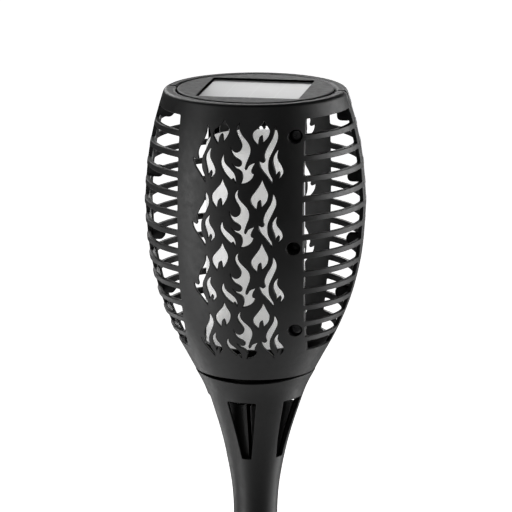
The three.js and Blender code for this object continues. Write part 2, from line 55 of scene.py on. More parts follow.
MM = 0.001
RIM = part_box("solar_cap")[1].z / MM  # height of the head's rim
WALL = 2.2  # thickness of the head's and throat's mouldings
EDGE = 0.35  # rounding of cut edges
STEP = 2.3  # spacing of the skin's mesh
TURN = 2.2  # degrees between the columns of the skin's mesh
SEAM_GAP = 0.15  # half the gap between the two barrel halves
SHOULDER_DEPTH = -3.0  # where the barrel's skin starts, under the rim's rounding
SKIN_LOW = -153.6  # where it ends
FLAME_ROWS, FLAME_PITCH, FLAME_REPEAT = 4, 34.3, 36.0
TEARDROPS, TEARDROP_DROP, TALL_RISE = 2, 3.1, 1.3  # how the top row's tips differ from the other rows'
SLAT_COUNT, SLAT_FIRST, SLAT_PITCH, SLAT_SHRINK, SLAT_HEIGHT = 12, -17.8, 10.95, 0.066, 3.1
WINDOW_TOP, WINDOW_LOW, WINDOW_EDGE, WINDOW_EDGE_LOW, WINDOW_STRIP = -8.4, -137.6, 34.0, 32.4, 4.8
SCREW_SEATS = ((29.2, -16.9, -40.4), (29.2, -76.3, -40.4), (28.2, -123.9, -33.4))  # x, depth, y of the seat
SCREW_HOLE, SCREW_BOSS, BOSS_LENGTH = 3.5, 4.6, 5.6
SLOT_COUNT, SLOT_TURN, SLOT_TOP, SLOT_LOW = 5, -8.0, -169.0, -203.0
SLOT_HALF_TOP, SLOT_HALF_LOW = 8.2, 2.6

# Radius at a depth, joined by a smooth curve.
HEAD_CURVE = (
    (33.0, -154), (37.3, -146), (44.3, -133), (50.1, -119.5), (54.4, -106), (58.1, -88),
    (60, -65), (60, -57), (58.2, -36), (54.4, -17), (49.9, -1.5), (49.2, 0.5),
)
THROAT_CURVE = (
    (12.0, -250), (12.1, -234), (12.5, -226), (13.5, -217), (15.9, -204), (19.1, -191),
    (23.5, -177), (28.1, -164), (32.9, -154.7), (34.2, -152),
)


# ---- profiles ----

def smooth_curve(points):
    """Radius as a smooth function of depth, through (radius, depth) points that rise in depth."""
    depth = [p[1] for p in points]
    radius = [p[0] for p in points]
    last = len(points) - 1
    slope = []
    for i in range(len(points)):
        a, b = max(0, i - 1), min(last, i + 1)
        slope.append((radius[b] - radius[a]) / (depth[b] - depth[a]))

    def at(z):
        i = min(last - 1, max(0, int(np.searchsorted(depth, z)) - 1))
        span = depth[i + 1] - depth[i]
        t = (z - depth[i]) / span
        return (
            radius[i] * (1 + 2 * t) * (1 - t) ** 2
            + slope[i] * span * t * (1 - t) ** 2
            + radius[i + 1] * t * t * (3 - 2 * t)
            + slope[i + 1] * span * t * t * (t - 1)
        )

    return at


head_radius = smooth_curve(HEAD_CURVE)
throat_radius = smooth_curve(THROAT_CURVE)


class Skin:
    """A turned skin: azimuth and surface length on it, and the same place on its inner face."""

    def __init__(self, radius, top, low, centres, half, same_x):
        self.radius = radius
        self.centres = centres  # azimuths of the sectors' middles
        self.half = half  # half a sector's azimuth
        self.same_x = same_x  # at a depth, openings are cut straight in, out to this x from a sector's middle
        self.depths = np.linspace(top, low, 1200)
        r = np.array([radius(z) for z in self.depths])
        steps = np.hypot(np.diff(r), np.diff(self.depths))
        self.runs = np.concatenate([[0], np.cumsum(steps)])

    def depth(self, run):
        return float(np.interp(run, self.runs, self.depths))

    def run(self, depth):
        return float(np.interp(-depth, -self.depths, self.runs))

    def normal(self, azimuth, depth):
        slope = (self.radius(depth + 0.2) - self.radius(depth - 0.2)) / 0.4
        return Vector((math.sin(azimuth), -math.cos(azimuth), -slope)).normalized()

    def outer(self, azimuth, depth, inset=0.0):
        r = self.radius(depth) - inset
        return Vector((r * math.sin(azimuth), -r * math.cos(azimuth), depth))

    def inner_azimuth(self, azimuth, depth, inset):
        """Azimuth on the face that lies an inset inwards, of what is cut through at an azimuth outside."""
        centre = self.centre(azimuth)
        own = azimuth - centre
        out = self.radius(depth)
        same_x = min(self.same_x(depth), 0.94 * (out - inset))
        outer_limit = math.asin(same_x / out)
        if abs(own) <= outer_limit:
            return centre + math.asin(out * math.sin(own) / (out - inset))
        inner_limit = math.asin(same_x / (out - inset))
        share = (abs(own) - outer_limit) / (self.half - outer_limit)
        return centre + math.copysign(inner_limit + share * (self.half - inner_limit), own)

    def centre(self, azimuth):
        return min(self.centres, key=lambda c: abs(c - azimuth))

    def cut_straight(self, azimuth, depth):
        """Whether an opening's wall here runs straight in rather than towards the axis."""
        own = azimuth - self.centre(azimuth)
        return abs(self.radius(depth) * math.sin(own)) < self.same_x(depth)


# ---- mesh making ----

class Build:
    """A mesh put together face by face.

    Equal corners are welded, and each face corner keeps its own normal.
    """

    def __init__(self):
        self.index = {}
        self.points = []
        self.faces = []
        self.normals = []
        self.slots = []

    def corner(self, point):
        key = (round(point[0], 3), round(point[1], 3), round(point[2], 3))
        if key not in self.index:
            self.index[key] = len(self.points)
            self.points.append(tuple(point))
        return self.index[key]

    def face(self, points, normals, slot=0):
        corners, kept = [], []
        for point, normal in zip(points, normals):
            c = self.corner(point)
            if c not in corners:
                corners.append(c)
                kept.append(tuple(normal))
        if len(corners) > 2:
            self.faces.append(corners)
            self.normals.extend(kept)
            self.slots.append(slot)

    def flat(self, points, slot=0):
        a, b, c = (Vector(p) for p in points[:3])
        normal = (b - a).cross(c - a)
        if normal.length > 1e-9:
            self.face(points, [normal.normalized()] * len(points), slot)

    def take(self, other, move):
        """Another build's faces, moved by a matrix."""
        spin = move.to_3x3()
        at = 0
        for corners, slot in zip(other.faces, other.slots):
            points = [move @ Vector(other.points[c]) for c in corners]
            normals = [spin @ Vector(n) for n in other.normals[at:at + len(corners)]]
            at += len(corners)
            self.face(points, normals, slot)

    def make(self, name, *materials, lift=None, turn=0.0):
        lift = RIM if lift is None else lift
        spin = Matrix.Rotation(math.radians(turn), 3, "Z")
        up = Vector((0, 0, lift))
        mesh = bpy.data.meshes.new(name)
        mesh.from_pydata([tuple((spin @ Vector(p) + up) * MM) for p in self.points], [], self.faces)
        for material in materials:
            mesh.materials.append(material)
        mesh.polygons.foreach_set("material_index", self.slots)
        mesh.polygons.foreach_set("use_smooth", [True] * len(self.faces))
        mesh.update()
        mesh.normals_split_custom_set([tuple(spin @ Vector(n)) for n in self.normals])
        made = bpy.data.objects.new(name, mesh)
        bpy.context.collection.objects.link(made)
        return made


def sloped_runs(outline, closed):
    """Straight and rounded stretches of an outline of (across, up[, rounding]) corners.

    A rounding of None joins the stretches on both sides smoothly. Each stretch is two points with their
    normals, and the solid is on the left of the way round.
    """
    count = len(outline)
    points = [Vector(p[:2]) for p in outline]
    rounds = [p[2] if len(p) > 2 else 0.0 for p in outline]
    spans = count if closed else count - 1

    def side(i):
        along = (points[(i + 1) % count] - points[i % count]).normalized()
        return Vector((along.y, -along.x))

    starts, ends, arcs = {}, {}, {}
    for i in range(count):
        before, after = (i - 1) % count, i
        if not closed and i in (0, count - 1):
            only = side(0 if i == 0 else count - 2)
            ends[i] = starts[i] = (points[i], only)
            continue
        n0, n1 = side(before), side(after)
        if rounds[i] is None:
            n = (n0 + n1).normalized()
            ends[i] = starts[i] = (points[i], n)
            continue
        turn = math.atan2(n0.x * n1.y - n0.y * n1.x, n0.dot(n1))
        if not rounds[i] or abs(turn) < 0.02:
            ends[i], starts[i] = (points[i], n0), (points[i], n1)
            continue
        reach = abs(rounds[i] * math.tan(turn / 2))
        into = (points[i] - points[before]).normalized()
        out = (points[(i + 1) % count] - points[i]).normalized()
        first, final = points[i] - into * reach, points[i] + out * reach
        sign = math.copysign(1.0, turn)
        centre = first - n0 * rounds[i] * sign
        steps = max(2, int(abs(turn) / 0.3))
        arc = []
        for k in range(steps + 1):
            a = turn * k / steps
            n = Vector((n0.x * math.cos(a) - n0.y * math.sin(a), n0.x * math.sin(a) + n0.y * math.cos(a)))
            arc.append((centre + n * rounds[i] * sign, n))
        ends[i], starts[i], arcs[i] = (first, n0), (final, n1), arc
    runs = []
    for i in range(spans):
        if i in arcs and (closed or i > 0):
            runs.extend(zip(arcs[i], arcs[i][1:]))
        runs.append((starts[i], ends[(i + 1) % count]))
    return runs


def turned(build, outline, sides=160, closed=True, azimuths=None, slot=0):
    """Turns an outline of (radius, depth[, rounding]) corners about the axis, or part of the way round.

    The outline may be a function of the azimuth, with as many corners at each.
    """
    if azimuths is None:
        azimuths = [2 * math.pi * k / sides for k in range(sides + 1)]
    at = outline if callable(outline) else None
    plain = None if at else sloped_runs(outline, closed)

    def ray(a, p):
        return (p.x * math.sin(a), -p.x * math.cos(a), p.y)

    for a, b in zip(azimuths, azimuths[1:]):
        here = sloped_runs(at(a), closed) if at else plain
        there = sloped_runs(at(b), closed) if at else plain
        for ((p0, n0), (p1, n1)), ((q0, m0), (q1, m1)) in zip(here, there):
            build.face(
                [ray(a, p0), ray(b, q0), ray(b, q1), ray(a, p1)],
                [ray(a, n0), ray(b, m0), ray(b, m1), ray(a, n1)],
                slot,
            )


# ---- outlines of openings ----

def spline(points, step):
    """A smooth open curve through the points, sampled about every step."""
    points = [Vector(p) for p in points]
    if len(points) < 3:
        count = max(1, round((points[-1] - points[0]).length / step))
        return [points[0].lerp(points[-1], k / count) for k in range(count + 1)]
    ends = [2 * points[0] - points[1]] + points + [2 * points[-1] - points[-2]]
    curve = [points[0]]
    for i in range(1, len(ends) - 2):
        p0, p1, p2, p3 = ends[i - 1:i + 3]
        count = max(1, math.ceil((p2 - p1).length / step))
        for k in range(1, count + 1):
            t = k / count
            curve.append(
                0.5 * (2 * p1 + (p2 - p0) * t + (2 * p0 - 5 * p1 + 4 * p2 - p3) * t * t
                       + (3 * p1 - p0 - 3 * p2 + p3) * t ** 3)
            )
    return curve


def closed_outline(strokes, step=0.8):
    """One closed outline from strokes that meet at sharp corners."""
    outline = []
    for i, stroke in enumerate(strokes):
        following = strokes[(i + 1) % len(strokes)]
        outline.extend(spline(list(stroke) + [following[0]], step)[:-1])
    return outline


def anticlockwise(outline):
    area = sum(a[0] * b[1] - b[0] * a[1] for a, b in zip(outline, outline[1:] + outline[:1]))
    return outline if area > 0 else outline[::-1]


def widened(outline, by):
    """An anticlockwise outline moved outwards."""
    moved = []
    count = len(outline)
    for i in range(count):
        a, b, c = Vector(outline[i - 1]), Vector(outline[i]), Vector(outline[(i + 1) % count])
        u, v = (b - a).normalized(), (c - b).normalized()
        n = Vector((u.y, -u.x)) + Vector((v.y, -v.x))
        if n.length < 0.2:
            n = u - v
        n.normalize()
        spread = max(0.6, n.dot(Vector((u.y, -u.x))))
        moved.append(b + n * by / spread)
    return moved


# Strokes of (x, surface length) from corner to corner, for the row that starts at the rim.
TEARDROP_RIGHT = (
    ((13.3, 5.3), (14.3, 8.0), (15.6, 10.8), (16.4, 12.9), (16.3, 15.1), (15.5, 17.3)),
    ((13.1, 20.1), (12.9, 18.2), (12.5, 16.3), (11.3, 16.9), (10.8, 18.9)),
    ((10.5, 21.4), (8.4, 19.1), (7.5, 16.7), (7.9, 14.6), (9.9, 11.8), (11.9, 8.8), (12.9, 6.6)),
)
TEARDROP_LEFT = (
    ((-7.9, 5.4), (-6.8, 8.3), (-5.4, 10.9), (-4.9, 12.9), (-5.3, 15.2), (-6.4, 17.6)),
    ((-7.9, 19.7), (-8.0, 17.8), (-8.7, 15.8), (-10.1, 16.8), (-10.6, 18.8)),
    ((-11.0, 21.0), (-13.1, 17.9), (-13.6, 15.5), (-13.1, 13.6), (-11.0, 10.9), (-8.9, 8.4), (-8.2, 6.6)),
)
TALL_MIDDLE = (
    ((0.8, 10.9), (0.4, 12.8), (0.8, 14.9), (2.3, 17.1), (4.3, 19.1), (6.0, 21.3), (6.7, 23.8),
     (6.4, 26.4), (5.4, 29.0), (4.4, 31.8), (4.0, 33.7), (4.7, 34.7), (5.4, 34.0), (6.0, 32.7), (7.2, 31.7)),
    ((9.3, 30.8), (8.2, 32.8), (7.5, 34.8), (7.8, 36.2)),
    ((8.9, 36.7), (8.0, 38.8), (6.2, 40.6), (4.2, 41.6)),
    ((2.3, 42.0), (2.9, 40.4), (3.2, 38.4), (2.6, 35.9), (1.0, 34.5), (-0.8, 33.6)),
    ((-2.7, 31.1), (-1.1, 32.5), (0.8, 33.0), (2.1, 32.4), (2.3, 30.7), (1.0, 29.2), (-1.4, 27.8),
     (-3.0, 25.5)),
    ((-3.8, 22.0), (-3.2, 23.8), (-1.9, 25.2), (0.0, 25.4), (1.7, 24.1), (2.2, 21.7), (1.3, 19.5),
     (-0.1, 17.2), (-1.0, 14.9), (-0.6, 12.7)),
)
TALL_RIGHT = (
    ((19.1, 13.0), (20.1, 15.0), (20.7, 17.3), (20.4, 19.8), (19.3, 22.4), (17.7, 25.9), (16.5, 28.8),
     (16.2, 31.8), (16.5, 34.9), (17.5, 37.5), (18.5, 39.6)),
    ((18.6, 41.9), (16.9, 39.5), (14.9, 36.8), (12.9, 34.2), (11.9, 31.9)),
    ((11.5, 29.7), (12.7, 30.5), (13.8, 30.8), (14.6, 29.9), (14.1, 27.6), (14.5, 25.2), (15.8, 22.3),
     (17.5, 19.4), (18.5, 16.7), (18.8, 14.5)),
)
SMALL_RIGHT = (
    ((21.2, 25.2), (20.7, 28.2), (21.4, 30.5), (22.8, 32.5), (23.8, 34.7), (23.8, 36.9)),
    ((21.8, 39.5), (22.3, 37.9), (22.3, 36.6), (21.6, 35.6), (20.9, 36.4)),
    ((20.2, 37.9), (20.0, 35.7), (19.2, 33.2), (18.6, 30.6), (19.0, 28.3), (20.1, 26.5)),
)
LITTLE_LEFT = (
    ((-7.6, 28.3), (-7.4, 30.5), (-6.4, 32.4), (-3.9, 34.6), (-1.8, 36.6), (-0.8, 38.7)),
    ((-0.5, 41.6), (-1.3, 40.2), (-2.1, 39.1)),
    ((-3.2, 39.9), (-4.7, 38.6), (-6.8, 36.3), (-8.4, 33.7), (-8.8, 31.4), (-8.3, 29.7)),
)


def flame_outlines(skin):
    """Every flame's outline on the barrel, as (x, depth) points."""
    shapes = [closed_outline(s) for s in (TEARDROP_RIGHT, TEARDROP_LEFT, TALL_MIDDLE, LITTLE_LEFT)]
    ends = [closed_outline(s) for s in (TALL_RIGHT, SMALL_RIGHT)]
    shapes += ends + [[Vector((p.x - FLAME_REPEAT, p.y)) for p in shape] for shape in ends]
    outlines = []
    for row in range(FLAME_ROWS):
        for index, shape in enumerate(shapes):
            tip = min(p.y for p in shape)
            shift = 0.0
            if row == 0:
                shift = TEARDROP_DROP if index < TEARDROPS else -TALL_RISE
            outline = []
            for p in shape:
                moved = p.y + shift * max(0.0, 1 - (p.y - tip) / 10)
                depth = skin.depth(moved + row * FLAME_PITCH)
                narrowing = 1 - 0.1 * max(0.0, (-depth - 105) / 35)
                outline.append((p.x * narrowing, depth))
            outlines.append(outline)
    return outlines


def slat_depth(k):
    return SLAT_FIRST - SLAT_PITCH * k + SLAT_SHRINK * k * k


def window_edge(depth):
    lean = max(0.0, (-depth - 95) / 42)
    return WINDOW_EDGE - (WINDOW_EDGE - WINDOW_EDGE_LOW) * lean


def rounded_corners(corners, radius, steps=4):
    """A closed outline with each corner rounded."""
    outline = []
    count = len(corners)
    for i in range(count):
        a, b, c = Vector(corners[i - 1]), Vector(corners[i]), Vector(corners[(i + 1) % count])
        u, v = (a - b).normalized(), (c - b).normalized()
        half = math.acos(max(-1.0, min(1.0, u.dot(v)))) / 2
        reach = radius / math.tan(half)
        centre = b + (u + v).normalized() * radius / math.sin(half)
        first, last = b + u * reach - centre, b + v * reach - centre
        for k in range(steps + 1):
            t = k / steps
            outline.append(centre + (first * math.sin((1 - t) * (math.pi / 2 - half) * 2)
                                     + last * math.sin(t * (math.pi / 2 - half) * 2))
                           / math.sin((math.pi / 2 - half) * 2))
    return outline


def dense(outline, step):
    """A closed outline with its straight stretches divided."""
    result = []
    for a, b in zip(outline, outline[1:] + outline[:1]):
        a, b = Vector(a), Vector(b)
        count = max(1, math.ceil((b - a).length / step))
        result.extend(a.lerp(b, k / count) for k in range(count))
    return result


# ---- a skin with openings ----

class Opening:
    """A hole in a skin: an outline of (azimuth * scale, surface length) points, and how its walls go in."""

    def __init__(self, outline, kind="through"):
        self.kind = kind
        self.cut = anticlockwise([tuple(p) for p in outline])
        self.lip = [tuple(p) for p in widened(self.cut, EDGE)]


def inside(points, outline):
    """Which points lie in a closed outline."""
    x, y = points[:, 0], points[:, 1]
    hit = np.zeros(len(points), bool)
    for (x0, y0), (x1, y1) in zip(outline, outline[1:] + outline[:1]):
        if y0 == y1:
            continue
        crosses = (y0 > y) != (y1 > y)
        hit ^= crosses & (x < (x1 - x0) * (y - y0) / (y1 - y0) + x0)
    return hit


def skin_mesh(boundary, openings):
    """Triangles over the area inside the boundary and outside the openings' lips."""
    boundary = anticlockwise([tuple(p) for p in boundary])
    fixed = np.array(boundary + [p for o in openings for p in o.lip])
    low, high = fixed.min(axis=0), fixed.max(axis=0)
    grid = []
    for j in range(int((high[1] - low[1]) / STEP) + 1):
        for i in range(int((high[0] - low[0]) / STEP) + 1):
            grid.append((low[0] + (i + 0.5 * (j % 2)) * STEP, low[1] + (j + 0.4) * STEP))
    grid = np.array(grid)
    keep = inside(grid, boundary)
    for o in openings:
        keep &= ~inside(grid, o.lip)
    grid = grid[keep]
    near = np.array([np.min(np.hypot(*(fixed - p).T)) for p in grid])
    grid = grid[near > 0.55 * STEP]
    verts = [Vector(p) for p in fixed] + [Vector(p) for p in grid]
    edges = []
    start = 0
    for loop in [boundary] + [o.lip for o in openings]:
        edges += [(start + k, start + (k + 1) % len(loop)) for k in range(len(loop))]
        start += len(loop)
    places, _, faces, _, _, _ = delaunay_2d_cdt(verts, edges, [], 0, 1e-5)
    flat = np.array([tuple(p) for p in places])
    faces = np.array([tuple(f) for f in faces])
    middles = flat[faces].mean(axis=1)
    keep = inside(middles, boundary)
    for o in openings:
        box = (np.min(o.lip, axis=0), np.max(o.lip, axis=0))
        close = np.all((middles >= box[0]) & (middles <= box[1]), axis=1)
        where = np.nonzero(close)[0]
        if len(where):
            keep[where[inside(middles[where], o.lip)]] = False
    triangles = []
    for a, b, c in faces[keep]:
        pa, pb, pc = flat[a], flat[b], flat[c]
        area = (pb[0] - pa[0]) * (pc[1] - pa[1]) - (pb[1] - pa[1]) * (pc[0] - pa[0])
        if abs(area) > 1e-9:
            triangles.append((a, b, c) if area > 0 else (a, c, b))
    return flat, triangles


def edge_sides(cut):
    """The wall's direction at both ends of each stretch of an outline, smoothed round soft bends."""
    count = len(cut)
    sides = []
    for i in range(count):
        along = Vector(cut[(i + 1) % count]) - Vector(cut[i])
        sides.append(Vector((-along.y, along.x)).normalized() if along.length > 1e-9 else Vector((1, 0)))
    result = []
    for i in range(count):
        before, here, after = sides[i - 1], sides[i], sides[(i + 1) % count]
        first = (before + here).normalized() if before.dot(here) > 0.8 else here
        last = (here + after).normalized() if here.dot(after) > 0.8 else here
        result.append((first, last))
    return result


def skin_with_openings(build, skin, scale, boundary, openings, inner_inset, inner_depth):
    """Adds a skin's outer and inner faces and the walls of its openings.

    Points are (azimuth * scale, surface length). inner_inset(depth) is how far in the inner face lies there,
    and inner_depth(depth) moves its ends to meet what closes them.
    """
    flat, triangles = skin_mesh(boundary, openings)

    def outside(p, inset=0.0):
        return skin.outer(p[0] / scale, skin.depth(p[1]), inset)

    def inward(p):
        depth = skin.depth(p[1])
        inset = inner_inset(depth)
        azimuth = skin.inner_azimuth(p[0] / scale, depth, inset)
        moved = inner_depth(depth)
        r = skin.radius(moved) - inner_inset(moved)
        return Vector((r * math.sin(azimuth), -r * math.cos(azimuth), moved))

    def inner_side(p):
        depth = skin.depth(p[1])
        return -skin.normal(skin.inner_azimuth(p[0] / scale, depth, inner_inset(depth)), depth)

    # The inner face leaves its openings at their cut outline, not at their lip.
    to_cut = {}
    for o in openings:
        for lip, cut in zip(o.lip, o.cut):
            to_cut[(round(lip[0], 4), round(lip[1], 4))] = (o, cut)
    outer_points = [outside(p) for p in flat]
    outer_normals = [skin.normal(p[0] / scale, skin.depth(p[1])) for p in flat]
    inner_points, inner_normals = [], []
    for p in flat:
        found = to_cut.get((round(p[0], 4), round(p[1], 4)))
        at = p
        if found is not None:
            o, at = found
            if o.kind == "screw":
                at = Vector(o.middle) + (Vector(at) - Vector(o.middle)) * (SCREW_BOSS / SCREW_HOLE)
        inner_points.append(inward(at))
        inner_normals.append(inner_side(at))
    for a, b, c in triangles:
        # Surface length runs down, so anticlockwise in the flat is clockwise from outside.
        build.face([outer_points[i] for i in (a, c, b)], [outer_normals[i] for i in (a, c, b)])
        build.face([inner_points[i] for i in (a, b, c)], [inner_normals[i] for i in (a, b, c)])

    for o in openings:
        count = len(o.cut)
        sides = edge_sides(o.cut)
        for i in range(count):
            j = (i + 1) % count
            walls = []
            for k, side in ((i, sides[i][0]), (j, sides[i][1])):
                cut = o.cut[k]
                depth = skin.depth(cut[1])
                azimuth = cut[0] / scale
                slope = (skin.radius(depth + 0.2) - skin.radius(depth - 0.2)) / 0.4
                across = Vector((math.cos(azimuth), math.sin(azimuth), 0))
                down = Vector((-slope * math.sin(azimuth), slope * math.cos(azimuth), -1)).normalized()
                if skin.cut_straight(azimuth, depth):
                    middle_way = skin.centre(azimuth)
                    across = Vector((math.cos(middle_way), math.sin(middle_way), 0))
                    down = Vector((0, 0, -1))
                normal = (across * side.x + down * side.y).normalized()
                lip = o.lip[k]
                surface = skin.normal(lip[0] / scale, skin.depth(lip[1]))
                walls.append((outside(lip), surface, outside(cut, EDGE), normal, cut))
            (l0, s0, t0, n0, c0), (l1, s1, t1, n1, c1) = walls
            build.face([l0, t0, t1, l1], [s0, n0, n1, s1])
            if o.kind == "through":
                build.face([t0, inward(c0), inward(c1), t1], [n0, n0, n1, n1])
                continue
            # A screw's counterbore: straight in to the seat, and a boss round it on the inside.
            x, z, seat = o.screw
            bore = []
            for cut, t in ((c0, t0), (c1, t1)):
                ray = Vector((t.x - x, 0, t.z - z)).normalized()
                bore.append((t, ray))
            (t0, r0), (t1, r1) = bore
            centre = Vector((x, seat, z))
            b0, b1 = centre + r0 * SCREW_HOLE, centre + r1 * SCREW_HOLE
            build.face([t0, b0, b1, t1], [-r0, -r0, -r1, -r1])
            front = Vector((0, -1, 0))
            h0, h1 = centre + r0 * 1.7, centre + r1 * 1.7
            build.face([b0, h0, h1, b1], [front] * 4)
            end = Vector((x, seat + BOSS_LENGTH, z))
            e0, e1 = end + r0 * 1.7, end + r1 * 1.7
            build.face([h0, e0, e1, h1], [-r0, -r0, -r1, -r1])
            back = Vector((0, 1, 0))
            o0, o1 = end + r0 * SCREW_BOSS, end + r1 * SCREW_BOSS
            build.face([e0, o0, o1, e1], [back] * 4)
            middle = Vector(o.middle)
            in0 = inward(middle + (Vector(c0) - middle) * (SCREW_BOSS / SCREW_HOLE))
            in1 = inward(middle + (Vector(c1) - middle) * (SCREW_BOSS / SCREW_HOLE))
            build.face([in0, in1, o1, o0], [r0, r1, r1, r0])


# ---- small solids ----

def bevelled_box(build, low, high, edge=0.3, move=None):
    """A box with chamfered edges and smooth corners."""
    bm = bmesh.new()
    size = [b - a for a, b in zip(low, high)]
    middle = [(a + b) / 2 for a, b in zip(low, high)]
    bmesh.ops.create_cube(bm, size=1.0, matrix=Matrix.Translation(middle) @ Matrix.Diagonal((*size, 1)))
    bmesh.ops.bevel(bm, geom=bm.edges[:], offset=edge, segments=2, profile=0.5, affect="EDGES")
    bm.normal_update()
    flat_faces = {f: f.normal.copy() for f in bm.faces}
    large = {f for f in bm.faces if f.calc_area() > edge * edge * 4}
    for f in bm.faces:
        points, normals = [], []
        for v in f.verts:
            own = [g.normal for g in v.link_faces if g in large] or [g.normal for g in v.link_faces]
            normal = flat_faces[f] if f in large else sum(own, Vector()).normalized()
            p = Vector(v.co)
            if move is not None:
                p, normal = move @ p, move.to_3x3() @ normal
            points.append(p)
            normals.append(normal)
        build.face(points, normals)
    bm.free()


def slab(build, outline, low, high, move=None, edge=0.25):
    """An outline of (across, up) corners pushed along Y from low to high, with chamfered edges."""
    outline = anticlockwise([tuple(p) for p in outline])
    inner = widened(outline, -edge)
    sides = edge_sides(outline)
    move = move or Matrix.Identity(4)
    spin = move.to_3x3()
    count = len(outline)
    for i in range(count):
        j = (i + 1) % count
        a, b = outline[i], outline[j]
        n0, n1 = (Vector((-s.x, 0, -s.y)) for s in sides[i])
        c, d = inner[i], inner[j]
        front_way, back_way = Vector((0, -1, 0)), Vector((0, 1, 0))
        for corners, normals in (
            (((a, low + edge), (b, low + edge), (b, high - edge), (a, high - edge)), (n0, n1, n1, n0)),
            (((c, low), (d, low), (b, low + edge), (a, low + edge)), (front_way, front_way, n1, n0)),
            (((a, high - edge), (b, high - edge), (d, high), (c, high)), (n0, n1, back_way, back_way)),
        ):
            build.face([move @ Vector((p[0], y, p[1])) for p, y in corners], [spin @ n for n in normals])
    front = [move @ Vector((p[0], low, p[1])) for p in inner]
    back = [move @ Vector((p[0], high, p[1])) for p in reversed(inner)]
    build.face(front, [spin @ Vector((0, -1, 0))] * count)
    build.face(back, [spin @ Vector((0, 1, 0))] * count)


def screw_mesh(build, radius, head_low, head_high, shank_radius, tip, move):
    """A pan-head screw with a cross recess. Its head faces down Z before it is moved."""
    part = Build()
    height = head_high - head_low
    arm, half, deep = radius * 0.55, radius * 0.13, height * 0.55
    turned(part, [
        (arm * 1.02, head_low), (radius, head_low, height * 0.55), (radius, head_high, 0.1),
        (shank_radius, head_high), (shank_radius, tip - 1), (0.1, tip),
    ], sides=32, closed=False)
    cross = [
        (half, half), (half, arm), (-half, arm), (-half, half), (-arm, half), (-arm, -half),
        (-half, -half), (-half, -arm), (half, -arm), (half, -half), (arm, -half), (arm, half),
    ]
    ring = [(arm * 1.02 * math.sin(a), -arm * 1.02 * math.cos(a))
            for a in (2 * math.pi * k / 32 for k in range(32))]
    verts = [Vector(p) for p in ring + cross]
    edges = [(k, (k + 1) % 32) for k in range(32)] + [(32 + k, 32 + (k + 1) % 12) for k in range(12)]
    places, _, faces, _, _, _ = delaunay_2d_cdt(verts, edges, [], 0, 1e-6)
    flat = np.array([tuple(p) for p in places])
    for f in faces:
        middle = flat[list(f)].mean(axis=0)
        within = bool(inside(np.array([middle]), anticlockwise(cross))[0])
        z = head_low + deep if within else head_low
        points = [(flat[k][0], flat[k][1], z) for k in f]
        a, b, c = (Vector(p) for p in points)
        if (b - a).cross(c - a).z > 0:
            points.reverse()
        part.face(points, [(0, 0, -1)] * 3)
    loop = anticlockwise(cross)
    for a, b in zip(loop, loop[1:] + loop[:1]):
        part.flat([(b[0], b[1], head_low), (a[0], a[1], head_low),
                   (a[0], a[1], head_low + deep), (b[0], b[1], head_low + deep)])
    build.take(part, move)


# ---- materials ----

def rgb(r, g=None, b=None):
    return (r, r if g is None else g, r if b is None else b, 1.0)


class Finish:
    """A material whose colour, roughness and relief come from procedural noise in the object's own space."""

    def __init__(self, name, roughness=0.5, metallic=0.0, specular=0.5, coat=0.0, coat_roughness=0.1,
                 transmission=0.0, subsurface=0.0):
        self.material = bpy.data.materials.new(name)
        self.material.use_nodes = True
        self.tree = self.material.node_tree
        self.shader = self.tree.nodes["Principled BSDF"]
        sockets = self.shader.inputs
        sockets["Roughness"].default_value = roughness
        sockets["Metallic"].default_value = metallic
        sockets["Specular IOR Level"].default_value = specular
        sockets["Coat Weight"].default_value = coat
        sockets["Coat Roughness"].default_value = coat_roughness
        sockets["Transmission Weight"].default_value = transmission
        if subsurface:
            sockets["Subsurface Weight"].default_value = subsurface
            sockets["Subsurface Scale"].default_value = 0.004
            sockets["Subsurface Radius"].default_value = (1.0, 1.0, 0.95)
        self.place = self.node("ShaderNodeTexCoord").outputs["Object"]
        self.height = None

    def node(self, kind, **settings):
        made = self.tree.nodes.new(kind)
        for key, value in settings.items():
            setattr(made, key, value)
        return made

    def link(self, a, b):
        self.tree.links.new(a, b)

    def noise(self, scale, detail=3.0, stretch=(1, 1, 1)):
        """Noise with so many features a metre."""
        mapping = self.node("ShaderNodeMapping")
        mapping.inputs["Scale"].default_value = stretch
        self.link(self.place, mapping.inputs["Vector"])
        made = self.node("ShaderNodeTexNoise")
        made.inputs["Scale"].default_value = scale
        made.inputs["Detail"].default_value = detail
        self.link(mapping.outputs["Vector"], made.inputs["Vector"])
        return made.outputs["Fac"]

    def span(self, value, low, high, start=0.3, end=0.7):
        made = self.node("ShaderNodeMapRange")
        made.inputs["From Min"].default_value = start
        made.inputs["From Max"].default_value = end
        made.inputs["To Min"].default_value = low
        made.inputs["To Max"].default_value = high
        self.link(value, made.inputs["Value"])
        return made.outputs["Result"]

    def colour(self, value, *stops):
        """Colour from a value through (place, colour) stops."""
        ramp = self.node("ShaderNodeValToRGB")
        elements = ramp.color_ramp.elements
        while len(elements) < len(stops):
            elements.new(0.5)
        for element, (place, colour) in zip(elements, stops):
            element.position = place
            element.color = colour
        self.link(value, ramp.inputs["Fac"])
        self.link(ramp.outputs["Color"], self.shader.inputs["Base Color"])
        return ramp.outputs["Color"]

    def rough(self, value, low, high):
        self.link(self.span(value, low, high), self.shader.inputs["Roughness"])

    def relief(self, value, distance, strength=1.0):
        """Adds relief of a height in metres."""
        bump = self.node("ShaderNodeBump")
        bump.inputs["Distance"].default_value = distance
        bump.inputs["Strength"].default_value = strength
        self.link(value, bump.inputs["Height"])
        if self.height is not None:
            self.link(self.height, bump.inputs["Normal"])
        self.height = bump.outputs["Normal"]
        self.link(self.height, self.shader.inputs["Normal"])


